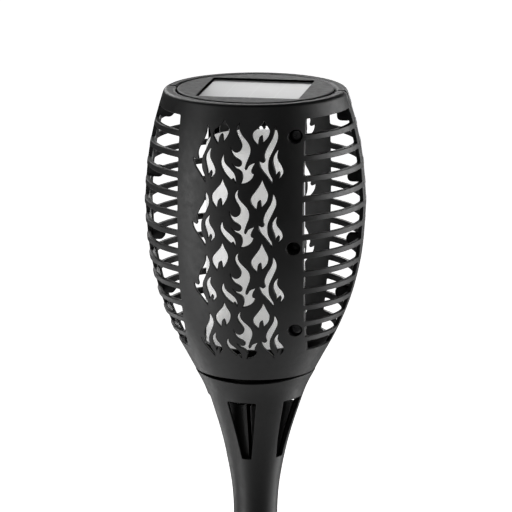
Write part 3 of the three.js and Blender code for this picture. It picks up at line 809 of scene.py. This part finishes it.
def moulded_plastic(name, dark, light, rough_low, rough_high, specular=0.5, grain=0.00003):
    """Moulded plastic: cloudy colour, a fine spark-eroded grain and slow unevenness of the wall."""
    made = Finish(name, specular=specular)
    made.colour(made.noise(45, 4.0), (0.35, rgb(*dark)), (0.65, rgb(*light)))
    made.rough(made.noise(320, 5.0), rough_low, rough_high)
    made.relief(made.noise(2600, 2.0), grain)
    made.relief(made.noise(70, 2.0), 0.00012, 0.35)
    return made.material


charcoal = moulded_plastic(
    "charcoal_plastic", (0.0098, 0.0099, 0.0101), (0.0128, 0.0129, 0.0131), 0.43, 0.54, 0.4,
)
cap_finish = moulded_plastic("cap_plastic", (0.024, 0.0243, 0.025), (0.031, 0.0313, 0.032), 0.42, 0.54, 0.3)
inner_black = moulded_plastic(
    "inner_black_plastic", (0.006, 0.006, 0.0062), (0.009, 0.009, 0.0093), 0.5, 0.62, 0.35,
)


def solar_finish():
    made = Finish("solar_laminate", roughness=0.32, specular=0.5, coat=0.6, coat_roughness=0.12)
    cloud = made.noise(26, 3.0)
    cell = made.colour(cloud, (0.3, rgb(0.270, 0.274, 0.280)), (0.7, rgb(0.305, 0.309, 0.315)))
    # Fine silver fingers across the cells, and the narrow gaps between the cells.
    split = made.node("ShaderNodeSeparateXYZ")
    made.link(made.place, split.inputs["Vector"])
    grid = None
    for axis, spacing, width in (("X", 0.0136, 0.018), ("Y", 0.0022, 0.07)):
        scaled = made.node("ShaderNodeMath", operation="MULTIPLY")
        scaled.inputs[1].default_value = 1 / spacing
        made.link(split.outputs[axis], scaled.inputs[0])
        wave = made.node("ShaderNodeMath", operation="PINGPONG")
        wave.inputs[1].default_value = 0.5
        made.link(scaled.outputs["Value"], wave.inputs[0])
        line = made.node("ShaderNodeMath", operation="LESS_THAN")
        line.inputs[1].default_value = width
        made.link(wave.outputs["Value"], line.inputs[0])
        if grid is None:
            grid = line.outputs["Value"]
        else:
            both = made.node("ShaderNodeMath", operation="MAXIMUM")
            made.link(grid, both.inputs[0])
            made.link(line.outputs["Value"], both.inputs[1])
            grid = both.outputs["Value"]
    mix = made.node("ShaderNodeMix", data_type="RGBA")
    mix.inputs["B"].default_value = rgb(0.38, 0.385, 0.39)
    soft = made.node("ShaderNodeMath", operation="MULTIPLY")
    soft.inputs[1].default_value = 0.5
    made.link(grid, soft.inputs[0])
    made.link(soft.outputs["Value"], mix.inputs["Factor"])
    made.link(cell, mix.inputs["A"])
    made.link(mix.outputs["Result"], made.shader.inputs["Base Color"])
    made.relief(made.noise(160, 2.0), 0.00004, 0.4)
    return made.material


TUBE_GLOW = 0.3


def frosted_finish():
    made = Finish("frosted_plastic", specular=0.3, subsurface=1.0)
    made.colour(made.noise(30, 3.0), (0.3, rgb(0.86, 0.86, 0.862)), (0.7, rgb(0.90, 0.90, 0.902)))
    # A stand-in for light carried through the tube's wall, fitted to this studio and not to any other.
    made.shader.inputs["Emission Color"].default_value = rgb(1.0)
    made.shader.inputs["Emission Strength"].default_value = TUBE_GLOW
    made.rough(made.noise(500, 3.0), 0.5, 0.62)
    made.relief(made.noise(1800, 2.0), 0.00003)
    return made.material


def metal_finish(name, colour, low, high, stretch=(1, 1, 1), scale=900):
    made = Finish(name, metallic=1.0)
    made.colour(made.noise(140, 3.0), (0.3, rgb(*(0.85 * c for c in colour))), (0.7, rgb(*colour)))
    brushed = made.noise(scale, 3.0, stretch)
    made.rough(brushed, low, high)
    made.relief(brushed, 0.00002, 0.5)
    return made.material


def speckled(name, dark, light, scale, low, high, relief, detail=3.0, **settings):
    made = Finish(name, **settings)
    value = made.noise(scale, detail)
    made.colour(value, (0.35, rgb(*dark)), (0.65, rgb(*light)))
    made.rough(made.noise(scale * 3), low, high)
    made.relief(value, relief)
    return made.material


def board_finish():
    """Green solder mask with a faint pattern of tracks."""
    made = Finish("circuit_board", specular=0.6, coat=0.3)
    tracks = made.node("ShaderNodeTexVoronoi", feature="DISTANCE_TO_EDGE", distance="MANHATTAN")
    tracks.inputs["Scale"].default_value = 260
    made.link(made.place, tracks.inputs["Vector"])
    made.colour(tracks.outputs["Distance"], (0.0, rgb(0.02, 0.14, 0.07)), (0.12, rgb(0.008, 0.06, 0.03)))
    made.rough(made.noise(400), 0.3, 0.45)
    made.relief(tracks.outputs["Distance"], 0.00003)
    return made.material


solar = solar_finish()
frosted = frosted_finish()
screw_steel = metal_finish("screw_steel", (0.2, 0.2, 0.205), 0.28, 0.42)
contact_metal = metal_finish("contact_metal", (0.72, 0.68, 0.58), 0.22, 0.36)
foam = speckled("black_foam", (0.012, 0.012, 0.012), (0.035, 0.035, 0.036), 1500, 0.85, 0.95, 0.0002)
board = board_finish()
white_plastic = speckled("white_plastic", (0.70, 0.70, 0.68), (0.78, 0.78, 0.76), 120, 0.45, 0.55, 0.00002)
wrap = speckled("battery_wrap", (0.015, 0.08, 0.26), (0.03, 0.12, 0.34), 60, 0.25, 0.35, 0.00003, coat=0.4)
rubber = speckled("button_rubber", (0.26, 0.02, 0.015), (0.34, 0.035, 0.025), 700, 0.6, 0.75, 0.00004)


# ---- barrel ----

def barrel_skin():
    return Skin(head_radius, 0.0, -154.0, [0.0], math.pi / 2, lambda depth: 34.2)


def window_outlines():
    """The gaps between the slats, as the (low, high) depths of each gap, for both windows."""
    outlines = []
    for gap in range(SLAT_COUNT + 1):
        high = WINDOW_TOP if gap == 0 else slat_depth(gap - 1) - SLAT_HEIGHT / 2
        low = WINDOW_LOW if gap == SLAT_COUNT else slat_depth(gap) + SLAT_HEIGHT / 2
        outlines.append((low, high))
    return outlines


def rim_outline(slope):
    """The rounded rim, from the barrel's skin over the top and down to the ledge under the cap."""
    r = head_radius(SHOULDER_DEPTH)
    inner = head_radius(-5.3) - WALL
    return [
        (r, SHOULDER_DEPTH), (r - slope * SHOULDER_DEPTH, 0.0, 2.4), (44.4, -0.15, 1.5), (43.2, -1.2, 0.8),
        (43.1, -3.3, 0.3), (38.8, -3.3, 0.3), (38.8, -5.3, 0.3), (inner, -5.3),
    ]


def barrel_half():
    build = Build()
    skin = barrel_skin()
    scale = 57.0
    top_run, low_run = skin.run(SHOULDER_DEPTH), skin.run(SKIN_LOW)

    def limit(depth, inset=0.0, gap=SEAM_GAP):
        return math.acos((gap) / (head_radius(depth) - inset))

    def edge_limit(depth):
        return limit(depth, gap=SEAM_GAP + EDGE)

    rows = int((low_run - top_run) / STEP)
    side_runs = [top_run + (low_run - top_run) * k / rows for k in range(rows + 1)]
    columns = int(math.pi / math.radians(TURN))
    top_limit, low_limit = edge_limit(SHOULDER_DEPTH), edge_limit(SKIN_LOW)
    top_azimuths = [-top_limit + 2 * top_limit * k / columns for k in range(columns + 1)]
    low_azimuths = [-low_limit + 2 * low_limit * k / columns for k in range(columns + 1)]
    right = [(edge_limit(skin.depth(run)) * scale, run) for run in side_runs]
    boundary = [(a * scale, top_run) for a in top_azimuths[:-1]]
    boundary += right[:-1]
    boundary += [(a * scale, low_run) for a in reversed(low_azimuths[1:])]
    boundary += [(-u, run) for u, run in reversed(right[1:])]

    openings = []
    for outline in flame_outlines(skin):
        flat = [(math.asin(x / head_radius(z)) * scale, skin.run(z)) for x, z in outline]
        openings.append(Opening(flat))
    for side in (1, -1):
        for low, high in window_outlines():
            corners = []
            for z in (low, high):
                strip = math.acos(WINDOW_STRIP / head_radius(z)) * scale
                edge = math.asin(window_edge(z) / head_radius(z)) * scale
                pair = [(side * edge, skin.run(z)), (side * strip, skin.run(z))]
                corners += pair if z == low else pair[::-1]
            openings.append(Opening(dense(rounded_corners(corners, 0.8), 2.2)))
    for x, z, seat in SCREW_SEATS:
        flat = []
        for k in range(36):
            a = 2 * math.pi * k / 36
            px, pz = x + SCREW_HOLE * math.cos(a), z + SCREW_HOLE * math.sin(a)
            flat.append((math.asin(px / head_radius(pz)) * scale, skin.run(pz)))
        opening = Opening(flat, "screw")
        opening.middle = (math.asin(x / head_radius(z)) * scale, skin.run(z))
        opening.screw = (x, z, seat)
        openings.append(opening)

    def inner_depth(depth):
        if depth > -8:
            return -8 + (depth + 8) * (8 - 5.3) / (8 + SHOULDER_DEPTH)
        if depth < -141:
            return -141 + (depth + 141) * 9 / (-141 - SKIN_LOW)
        return depth

    skin_with_openings(build, skin, scale, boundary, openings, lambda depth: WALL, inner_depth)

    # Rim and lower edge.
    slope = (head_radius(SHOULDER_DEPTH + 0.2) - head_radius(SHOULDER_DEPTH - 0.2)) / 0.4
    rim = rim_outline(slope)
    turned(build, rim, closed=False, azimuths=top_azimuths)
    inner_low = head_radius(-150) - WALL
    foot = [
        (inner_low, -150), (27.6, -150, 0.2), (27.6, -152, 0.2), (30, -152, 0.2), (30, -154, 0.2),
        (head_radius(-154) - 0.1, -154, 0.35), (head_radius(SKIN_LOW), SKIN_LOW),
    ]
    turned(build, foot, closed=False, azimuths=low_azimuths)

    # The faces where the halves meet.
    for sign in (1, -1):
        way = Vector((0, 1, 0))
        for run0, run1 in zip(side_runs, side_runs[1:]):
            quad = []
            for run in (run0, run1):
                z = skin.depth(run)
                azimuth = edge_limit(z)
                r = head_radius(z)
                lip = skin.outer(sign * azimuth, z)
                cut = Vector((sign * math.sqrt((r - EDGE) ** 2 - SEAM_GAP ** 2), -SEAM_GAP, z))
                depth = inner_depth(z)
                inner = head_radius(depth) - WALL
                at = skin.inner_azimuth(sign * azimuth, z, WALL)
                far = Vector((inner * math.sin(at), -inner * math.cos(at), depth))
                quad.append((lip, cut, far, skin.normal(sign * azimuth, z)))
            (l0, c0, f0, s0), (l1, c1, f1, s1) = quad
            for corners, normals in (
                ((l0, c0, c1, l1), (s0, way, way, s1)), ((c0, f0, f1, c1), (way,) * 4),
            ):
                if sign < 0:
                    corners, normals = corners[::-1], normals[::-1]
                build.face(corners, normals)
        for outline, azimuth in ((rim, top_limit), (foot, low_limit)):
            ring = []
            for (p, _), _ in sloped_runs(outline, False):
                ring.append((sign * p.x * math.sin(azimuth), -p.x * math.cos(azimuth), p.y))
            last = outline[-1]
            ring.append((sign * last[0] * math.sin(azimuth), -last[0] * math.cos(azimuth), last[1]))
            if sign < 0:
                ring.reverse()
            build.face(ring, [way] * len(ring))

    # Ears that locate the other half, on the left-hand strip.
    for depth in (-13.4, -46.7, -81.4, -111.2):
        reach = head_radius(depth) - 1.2
        slope = (head_radius(depth + 3) - head_radius(depth - 3)) / 6
        corners = [
            (-reach - 3 * slope, depth + 3), (-reach + 3 * slope, depth - 3),
            (-reach + 8, depth - 3), (-reach + 8, depth + 3),
        ]
        low, high = corners[:2], corners[2:]
        soft = rounded_corners(low + high, 2.4)
        slab(build, soft, -WINDOW_STRIP, -SEAM_GAP)
    return build


half = barrel_half()
cage_front = half.make("cage_front_moulding", charcoal)
cage_back = half.make("cage_back_moulding", charcoal, turn=180)
for piece, node in ((cage_front, "cage_front"), (cage_back, "cage_back")):
    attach(piece, "head")
    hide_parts(node)


def add(build, name, material, body, slot, *nodes, **placing):
    piece = build.make(name, material, **placing)
    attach(piece, body)
    if nodes:
        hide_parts(*nodes)
    return piece


# ---- screws ----

LIE_ALONG_Y = Matrix.Rotation(math.radians(-90), 4, "X")
for side, turn in (("front", 0), ("back", 180)):
    for i, (x, z, seat) in enumerate(SCREW_SEATS):
        build = Build()
        at = Matrix.Translation((x, 0, z)) @ LIE_ALONG_Y @ Matrix.Rotation(math.radians(25 + 40 * i), 4, "Z")
        screw_mesh(build, 2.9, seat - 2.1, seat - 0.3, 1.3, seat + 9.5, at)
        name = f"cage_screw_{side}_{i + 1}"
        add(build, name + "_turned", screw_steel, "head", "screw_steel", name, turn=turn)
for i in range(4):
    build = Build()
    screw_mesh(build, 2.7, -9.7, -8.0, 1.2, -2.4, Matrix.Translation((34.2, 0, 0)))
    name = f"cap_screw_{i + 1}"
    add(build, name + "_turned", screw_steel, "head", "screw_steel", name, turn=90 * i)
for i in range(3):
    build = Build()
    screw_mesh(build, 2.5, -162.5, -160.9, 1.2, -149.6, Matrix.Translation((14, 0, 0)))
    name = f"base_screw_{i + 1}"
    add(build, name + "_turned", screw_steel, "head", "screw_steel", name, turn=90 + 120 * i)


# ---- solar cap and panel ----

def solar_cap():
    build = Build()
    sides = 180
    rim_r = 41.7
    chamfer, floor = -0.25, -4.2  # depths of the pocket's chamfer and floor
    half_x, half_y = 54.5 / 2 + 0.5, 54.0 / 2 + 0.5
    around = [2 * math.pi * k / sides for k in range(sides)]
    ring = [(rim_r * math.sin(a), -rim_r * math.cos(a)) for a in around]
    pocket = [tuple(p) for p in rounded_corners(
        [(-half_x, -half_y), (half_x, -half_y), (half_x, half_y), (-half_x, half_y)], 1.2)]
    lip = [tuple(p) for p in widened(pocket, 0.25)]
    verts = [Vector(p) for p in ring + lip]
    edges = [(k, (k + 1) % sides) for k in range(sides)]
    edges += [(sides + k, sides + (k + 1) % len(lip)) for k in range(len(lip))]
    places, _, faces, _, _, _ = delaunay_2d_cdt(verts, edges, [], 0, 1e-6)
    flat = np.array([tuple(p) for p in places])
    for f in faces:
        middle = flat[list(f)].mean(axis=0)
        if inside(np.array([middle]), lip)[0]:
            continue
        points = [(flat[k][0], flat[k][1], 0.0) for k in f]
        a, b, c = (Vector(p) for p in points)
        if (b - a).cross(c - a).z < 0:
            points.reverse()
        build.face(points, [(0, 0, 1)] * 3)
    up = Vector((0, 0, 1))
    sides_of = edge_sides(pocket)
    for i in range(len(pocket)):
        j = (i + 1) % len(pocket)
        n0, n1 = (Vector((s.x, s.y, 0)) for s in sides_of[i])
        (ax, ay), (bx, by), (cx, cy), (dx, dy) = lip[i], lip[j], pocket[i], pocket[j]
        build.face([(cx, cy, chamfer), (dx, dy, chamfer), (bx, by, 0), (ax, ay, 0)], [n0, n1, up, up])
        build.face([(cx, cy, floor), (dx, dy, floor), (dx, dy, chamfer), (cx, cy, chamfer)], [n0, n1, n1, n0])
    build.face([(x, y, floor) for x, y in pocket], [up] * len(pocket))
    turned(build, [
        (0, -5.4), (38.2, -5.4, 0.3), (38.2, -3, 0.2), (42.4, -3, 0.2), (42.4, 0, 0.65), (rim_r, 0),
    ], sides=sides, closed=False)
    return build


add(solar_cap(), "solar_cap_disc", cap_finish, "head", "cap_plastic", "solar_cap")
panel = Build()
bevelled_box(panel, (-27.25, -27, -2.8), (27.25, 27, -1), 0.25)
add(panel, "solar_panel_sheet", solar, "head", "solar_laminate", "solar_panel")


# ---- lamp ----

def rail(build, turn):
    """An upright rail behind a panel's right-hand edge, which the barrel's screws go into."""
    upper, lower, thick = 34.5, 27.5, 4.5
    outline = [
        (upper, -8.4), (upper - thick, -8.4), (upper - thick, -92), (lower - thick, -118),
        (lower - thick, -142), (lower, -142), (lower, -118), (upper, -92),
    ]
    post = Build()
    spin = Matrix.Rotation(math.radians(turn - 90), 4, "Z")
    slab(post, outline, 25.4, 31.6, spin, 0.5)
    foot = Matrix.Rotation(math.radians(turn), 4, "Z")
    bevelled_box(post, (19.4, -27.5, -146), (29.6, -20, -139.5), 0.4, foot)
    # Its foot keeps clear of the barrel's inner face, which narrows there.
    for i, (x, y, z) in enumerate(post.points):
        shrink = min(1.0, (head_radius(z) - WALL - 0.8) / math.hypot(x, y))
        post.points[i] = (x * shrink, y * shrink, z)
    build.take(post, Matrix.Identity(4))


def lug(build, turn):
    arc = [math.radians(a) for a in range(-14, 15, 2)]
    outline = [(20.5 * math.sin(a), -20.5 * math.cos(a)) for a in arc]
    outline += [(24.2 * math.sin(a), -24.2 * math.cos(a)) for a in reversed(arc)]
    stand = Matrix.Rotation(math.radians(turn + 90), 4, "Z") @ Matrix.Rotation(math.radians(90), 4, "X")
    slab(build, outline, -163.6, -161.1, stand, 0.3)


base = Build()
turned(base, [
    (0, -146), (18.9, -146, 0.3), (18.9, -163.6, 0.3), (21.5, -163.6, 0.3), (21.5, -153.6, 0.3),
    (29.5, -153.6, 0.3), (29.5, -152.4, 0.2), (27, -152.4, 0.2), (27, -149.6, 0.2), (29.5, -149.6, 0.2),
    (29.5, -138.5, 0.6), (27.2, -138.5, 0.3), (27.2, -143, 0.3), (0, -143),
], closed=False)
for turn in (0, 180):
    rail(base, turn)
for k in range(3):
    lug(base, 120 * k)
add(base, "lamp_frame_moulding", inner_black, "head", "inner_plastic", "lamp_frame")

tube = Build()
turned(tube, [
    (0, -28.6), (25.2, -28.6, 3.0), (25.2, -142.6, 0.2), (26.8, -142.6, 0.3), (26.8, -27, 4.4), (0, -27),
], sides=128, closed=False)
add(tube, "flame_diffuser_tube", frosted, "head", "frosted_plastic", "flame_diffuser")

plate = Build()
turned(plate, [(7.5, -160.6, 0.2), (18.4, -160.6, 0.2), (18.4, -158.6, 0.2), (7.5, -158.6, 0.2)], sides=96)
add(plate, "base_cover_plate", inner_black, "head", "inner_plastic", "base_cover")
button = Build()
turned(button, [
    (0, -162.6), (7, -162.6, 0.9), (7, -158.3, 0.2), (9, -158.3, 0.2), (9, -157.3, 0.2), (0, -157.3),
], sides=72, closed=False)
add(button, "power_button_cap", rubber, "button", "button_rubber", "power_button")


# ---- throat ----

def throat():
    build = Build()
    scale = 20.0
    split = -207.0
    edge, dip, dip_half = -154.7, 2.1, 27.0
    dip_radius = (dip_half ** 2 + dip ** 2) / (2 * dip)
    centres = [math.radians(SLOT_TURN + 72 * k) for k in (-2, -1, 0, 1, 2)]
    shift = centres[2]

    def slot_half(depth):
        share = max(0.0, min(1.0, (depth - SLOT_LOW) / (SLOT_TOP - SLOT_LOW)))
        return SLOT_HALF_LOW + share * (SLOT_HALF_TOP - SLOT_HALF_LOW)

    skin = Skin(throat_radius, -152.5, -209.0, centres, math.pi / 5, lambda depth: slot_half(depth) + 0.8)

    def edge_depth(azimuth):
        x = min(dip_half, abs(31.6 * math.sin(azimuth)))
        return edge - dip + dip_radius - math.sqrt(dip_radius ** 2 - x * x)

    columns = 144
    azimuths = [shift - math.pi + 2 * math.pi * k / columns for k in range(columns + 1)]
    top = [(a * scale, skin.run(edge_depth(a) - EDGE)) for a in azimuths]
    low = [(a * scale, skin.run(split)) for a in azimuths]
    rows = 24
    side = [top[-1][1] + (low[-1][1] - top[-1][1]) * k / rows for k in range(rows + 1)]
    boundary = top[:-1] + [(azimuths[-1] * scale, run) for run in side[:-1]]
    boundary += low[:0:-1] + [(azimuths[0] * scale, run) for run in side[:0:-1]]
    openings = []
    for centre in centres:
        corners = [(-SLOT_HALF_LOW, SLOT_LOW), (SLOT_HALF_LOW, SLOT_LOW), (SLOT_HALF_TOP, SLOT_TOP),
                   (-SLOT_HALF_TOP, SLOT_TOP)]
        outline = dense(rounded_corners(corners, 0.6), 1.8)
        flat = [((centre + math.asin(p.x / throat_radius(p.y))) * scale, skin.run(p.y)) for p in outline]
        openings.append(Opening(flat))

    def inner_depth(depth):
        if depth > -165:
            return -165 + (depth + 165) * (165 - 160.6) / (165 - 157.2)
        if depth < -203.5:
            return -203.5 + (depth + 203.5) / (203.5 + split) * -1.0
        return depth

    def inner_inset(depth):
        return WALL

    skin_with_openings(build, skin, scale, boundary, openings, inner_inset, inner_depth)

    gate_half = math.radians(17)
    gates = [math.radians(40 + 120 * k) for k in (-2, -1, 0, 1, 2)]

    def rim(azimuth):
        z = edge_depth(azimuth)
        r = throat_radius(z)
        gate = any(abs(azimuth - g) < gate_half for g in gates)
        bore = 25.0 if gate else 22.2
        start = skin.depth(skin.run(z - EDGE))
        end = inner_depth(start)
        return [
            (throat_radius(start), start), (r - 0.05, z, 0.25), (29.9, z, 0.25), (29.9, -158.2, 0.3),
            (bore, -158.2, 0.2), (bore, -160.6, 0.2), (throat_radius(end) - WALL, end),
        ]

    turned(build, rim, closed=False, azimuths=azimuths)

    bottom = inner_depth(split)
    sleeve_depths = (-249, -245, -240, -234, -230, -226, -222, -218, -214, -210.5)
    outer_low = [(throat_radius(z), z, None) for z in sleeve_depths]
    turned(build, [
        (throat_radius(bottom) - WALL, bottom), (12.4, -204.5), (17.4, -172, 0.5), (15.8, -172, 0.5),
        (10.8, -204.5, None), (10.6, -211, 0.2), (8, -211, 0.3), (8, -213, 0.3), (9.9, -213, 0.2),
        (9.9, -249.4, None), (10.3, -250, 0.1), (11.4, -250, 0.4),
    ] + outer_low + [(throat_radius(split), split)], closed=False, azimuths=azimuths)

    # Five upright ribs between the liner and the wall.
    for k in range(SLOT_COUNT):
        depths = [-171, -178, -185, -192, -198, -203]
        outline = [(throat_radius(z) - WALL + 0.4, z) for z in depths]
        outline += [(12.3, -203), (17.0, -172), (17.4, -171)]
        slab(build, outline, -1.05, 1.05, Matrix.Rotation(math.radians(72 * k - 90), 4, "Z"), 0.2)
    return build


add(throat(), "throat_moulding", charcoal, "throat", "charcoal_plastic", "throat_funnel")


# ---- pole and spike ----

def pole_tube(low, high):
    build = Build()
    turned(build, [(8.1, low, 0.4), (9.5, low, 0.5), (9.5, high, 0.5), (8.1, high, 0.4)], sides=96)
    return build


def ends(node):
    low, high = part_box(node)
    return low.z / MM, high.z / MM


low, high = ends("upper_pole")
add(pole_tube(low, high), "upper_pole_tube", charcoal, "upper_pole", "charcoal_plastic", "upper_pole", lift=0)
low, high = ends("lower_pole")
add(pole_tube(low, high), "lower_pole_tube", charcoal, "lower_pole", "charcoal_plastic", "lower_pole", lift=0)
low, high = ends("pole_coupler")
flange = ends("lower_pole")[1] + 0.3
coupler = Build()
turned(coupler, [
    (6, low, 0.3), (7.4, low, 0.2), (7.75, low + 1.5, None), (7.75, flange, 0.2), (9.5, flange, 0.3),
    (9.5, flange + 1.4, 0.3), (7.75, flange + 1.4, 0.2), (7.75, high - 1.5, None), (7.4, high, 0.2),
    (6, high, 0.3),
], sides=72)
add(coupler, "pole_coupler_moulding", inner_black, "upper_pole", "inner_plastic", "pole_coupler", lift=0)

spike = Build()
turned(spike, [
    (0, 0), (22, 0, 0.8), (22, 3, 1.2), (14, 4.5, 2.0), (12.6, 8, 1.5), (12.6, 40, 0.8), (9.9, 40, 0.5),
    (9.9, 8, 0.3), (0, 8),
], sides=96, closed=False)
blade = dense([(-1.2, -140), (1.2, -140), (15, -26), (15, 0.5), (-15, 0.5), (-15, -26)], 30)
for turn in (0, 90):
    slab(spike, blade, -1.3, 1.3, Matrix.Rotation(math.radians(turn), 4, "Z"), 0.45)
add(spike, "ground_spike_moulding", charcoal, "spike", "charcoal_plastic", "ground_spike", lift=0)


# ---- CAD nodes that keep their shape ----

CARRIED = {
    "cap_cover": inner_black,
    "panel_foam_pad": foam,
    "control_board": board,
    "switch_board": board,
    "led_core": white_plastic,
    "led_board": white_plastic,
    "battery_cell": wrap,
    "battery_top_contact": contact_metal,
    "battery_spring": contact_metal,
}
for node, material in CARRIED.items():
    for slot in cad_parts[node].material_slots:
        slot.material = material


# ---- studio ----

AIM_DEPTH = -92.8  # the camera looks at the axis at this depth
CAMERA_AZIMUTH, CAMERA_ELEVATION, CAMERA_DISTANCE = 9.8, 12.7, 2.389
FOCAL = 309.0
CAMERA_SHIFT = 0.4 / 512
SOFTBOX_DISTANCE, SOFTBOX_WIDTH, SOFTBOX_HEIGHT = 2.0, 0.8, 0.9
UPLIGHT = 0.633  # strength of the world's light from below
BACKDROP = 1.1  # strength of the world and the floor as the camera sees them
FLOOR_HALF = 30

scene = bpy.context.scene
scene.view_settings.view_transform = "Standard"


def direction(azimuth, elevation):
    a, e = math.radians(azimuth), math.radians(elevation)
    return Vector((math.sin(a) * math.cos(e), -math.cos(a) * math.cos(e), math.sin(e)))


camera = bpy.data.objects.new("camera", bpy.data.cameras.new("camera"))
bpy.context.collection.objects.link(camera)
camera.data.lens = FOCAL
camera.data.sensor_width = 36
camera.data.shift_x = CAMERA_SHIFT
back = direction(CAMERA_AZIMUTH, CAMERA_ELEVATION)
aim = Vector((0, 0, (RIM + AIM_DEPTH) * MM))
camera.location = aim + back * CAMERA_DISTANCE
camera.rotation_mode = "QUATERNION"
camera.rotation_quaternion = (-back).to_track_quat("-Z", "Y")
camera.data.clip_start, camera.data.clip_end = 0.1, 100
scene.camera = camera


def soft_light(name, azimuth, elevation, power, aim_height=0.55):
    """A rectangular softbox that faces the head."""
    light = bpy.data.lights.new(name, "AREA")
    light.shape = "RECTANGLE"
    light.size, light.size_y = SOFTBOX_WIDTH, SOFTBOX_HEIGHT
    light.energy = power
    made = bpy.data.objects.new(name, light)
    bpy.context.collection.objects.link(made)
    way = direction(azimuth, elevation)
    made.location = Vector((0, 0, aim_height)) + way * SOFTBOX_DISTANCE
    made.rotation_mode = "QUATERNION"
    made.rotation_quaternion = (-way).to_track_quat("-Z", "Y")
    made.visible_camera = False
    return made


# Name, azimuth, elevation and power of each softbox.
SOFTBOXES = (
    ("back_left_low", -125, -30, 5.3),
    ("back_left_high", -150, 30, 14.4),
    ("left_low", -60, -30, 11.0),
    ("left", -60, 0, 15.2),
    ("right", 100, 0, 18.2),
    ("back_right_low", 125, -30, 8.0),
    ("back_right", 125, 0, 14.9),
    ("back", 180, 0, 10.2),
    ("front_high", 8, 35, 2.6),
)
for name, azimuth, elevation, power in SOFTBOXES:
    soft_light(name + "_softbox", azimuth, elevation, power)

# The world is a white backdrop to the camera. It lights the torch only from below.
world = bpy.data.worlds.new("studio")
scene.world = world
world.use_nodes = True
tree = world.node_tree
backdrop = tree.nodes["Background"]
coords = tree.nodes.new("ShaderNodeTexCoord")
split = tree.nodes.new("ShaderNodeSeparateXYZ")
tree.links.new(coords.outputs["Generated"], split.inputs["Vector"])
fade = tree.nodes.new("ShaderNodeMapRange")
fade.interpolation_type = "SMOOTHSTEP"
fade.inputs["From Min"].default_value = -0.9
fade.inputs["From Max"].default_value = -0.2
fade.inputs["To Min"].default_value = UPLIGHT
fade.inputs["To Max"].default_value = 0.0
tree.links.new(split.outputs["Z"], fade.inputs["Value"])
seen = tree.nodes.new("ShaderNodeLightPath")
choose = tree.nodes.new("ShaderNodeMix")
choose.inputs["B"].default_value = BACKDROP
tree.links.new(seen.outputs["Is Camera Ray"], choose.inputs["Factor"])
tree.links.new(fade.outputs["Result"], choose.inputs["A"])
tree.links.new(choose.outputs["Result"], backdrop.inputs["Strength"])
backdrop.inputs["Color"].default_value = rgb(1.0)

floor_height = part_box("ground_spike")[0].z - 0.002
mesh = bpy.data.meshes.new("floor")
corners = [(x * FLOOR_HALF, y * FLOOR_HALF) for x, y in ((-1, -1), (1, -1), (1, 1), (-1, 1))]
mesh.from_pydata([(x, y, floor_height) for x, y in corners], [], [(0, 1, 2, 3)])
floor = bpy.data.objects.new("floor", mesh)
bpy.context.collection.objects.link(floor)
floor_finish = Finish("floor_paper", roughness=0.9, specular=0.0)
floor_finish.colour(floor_finish.noise(3), (0.3, rgb(0.9)), (0.7, rgb(0.92)))
floor_finish.shader.inputs["Emission Color"].default_value = rgb(1.0)
floor_finish.shader.inputs["Emission Strength"].default_value = BACKDROP
mesh.materials.append(floor_finish.material)
floor.visible_diffuse = False
floor.visible_glossy = False
floor.visible_shadow = False
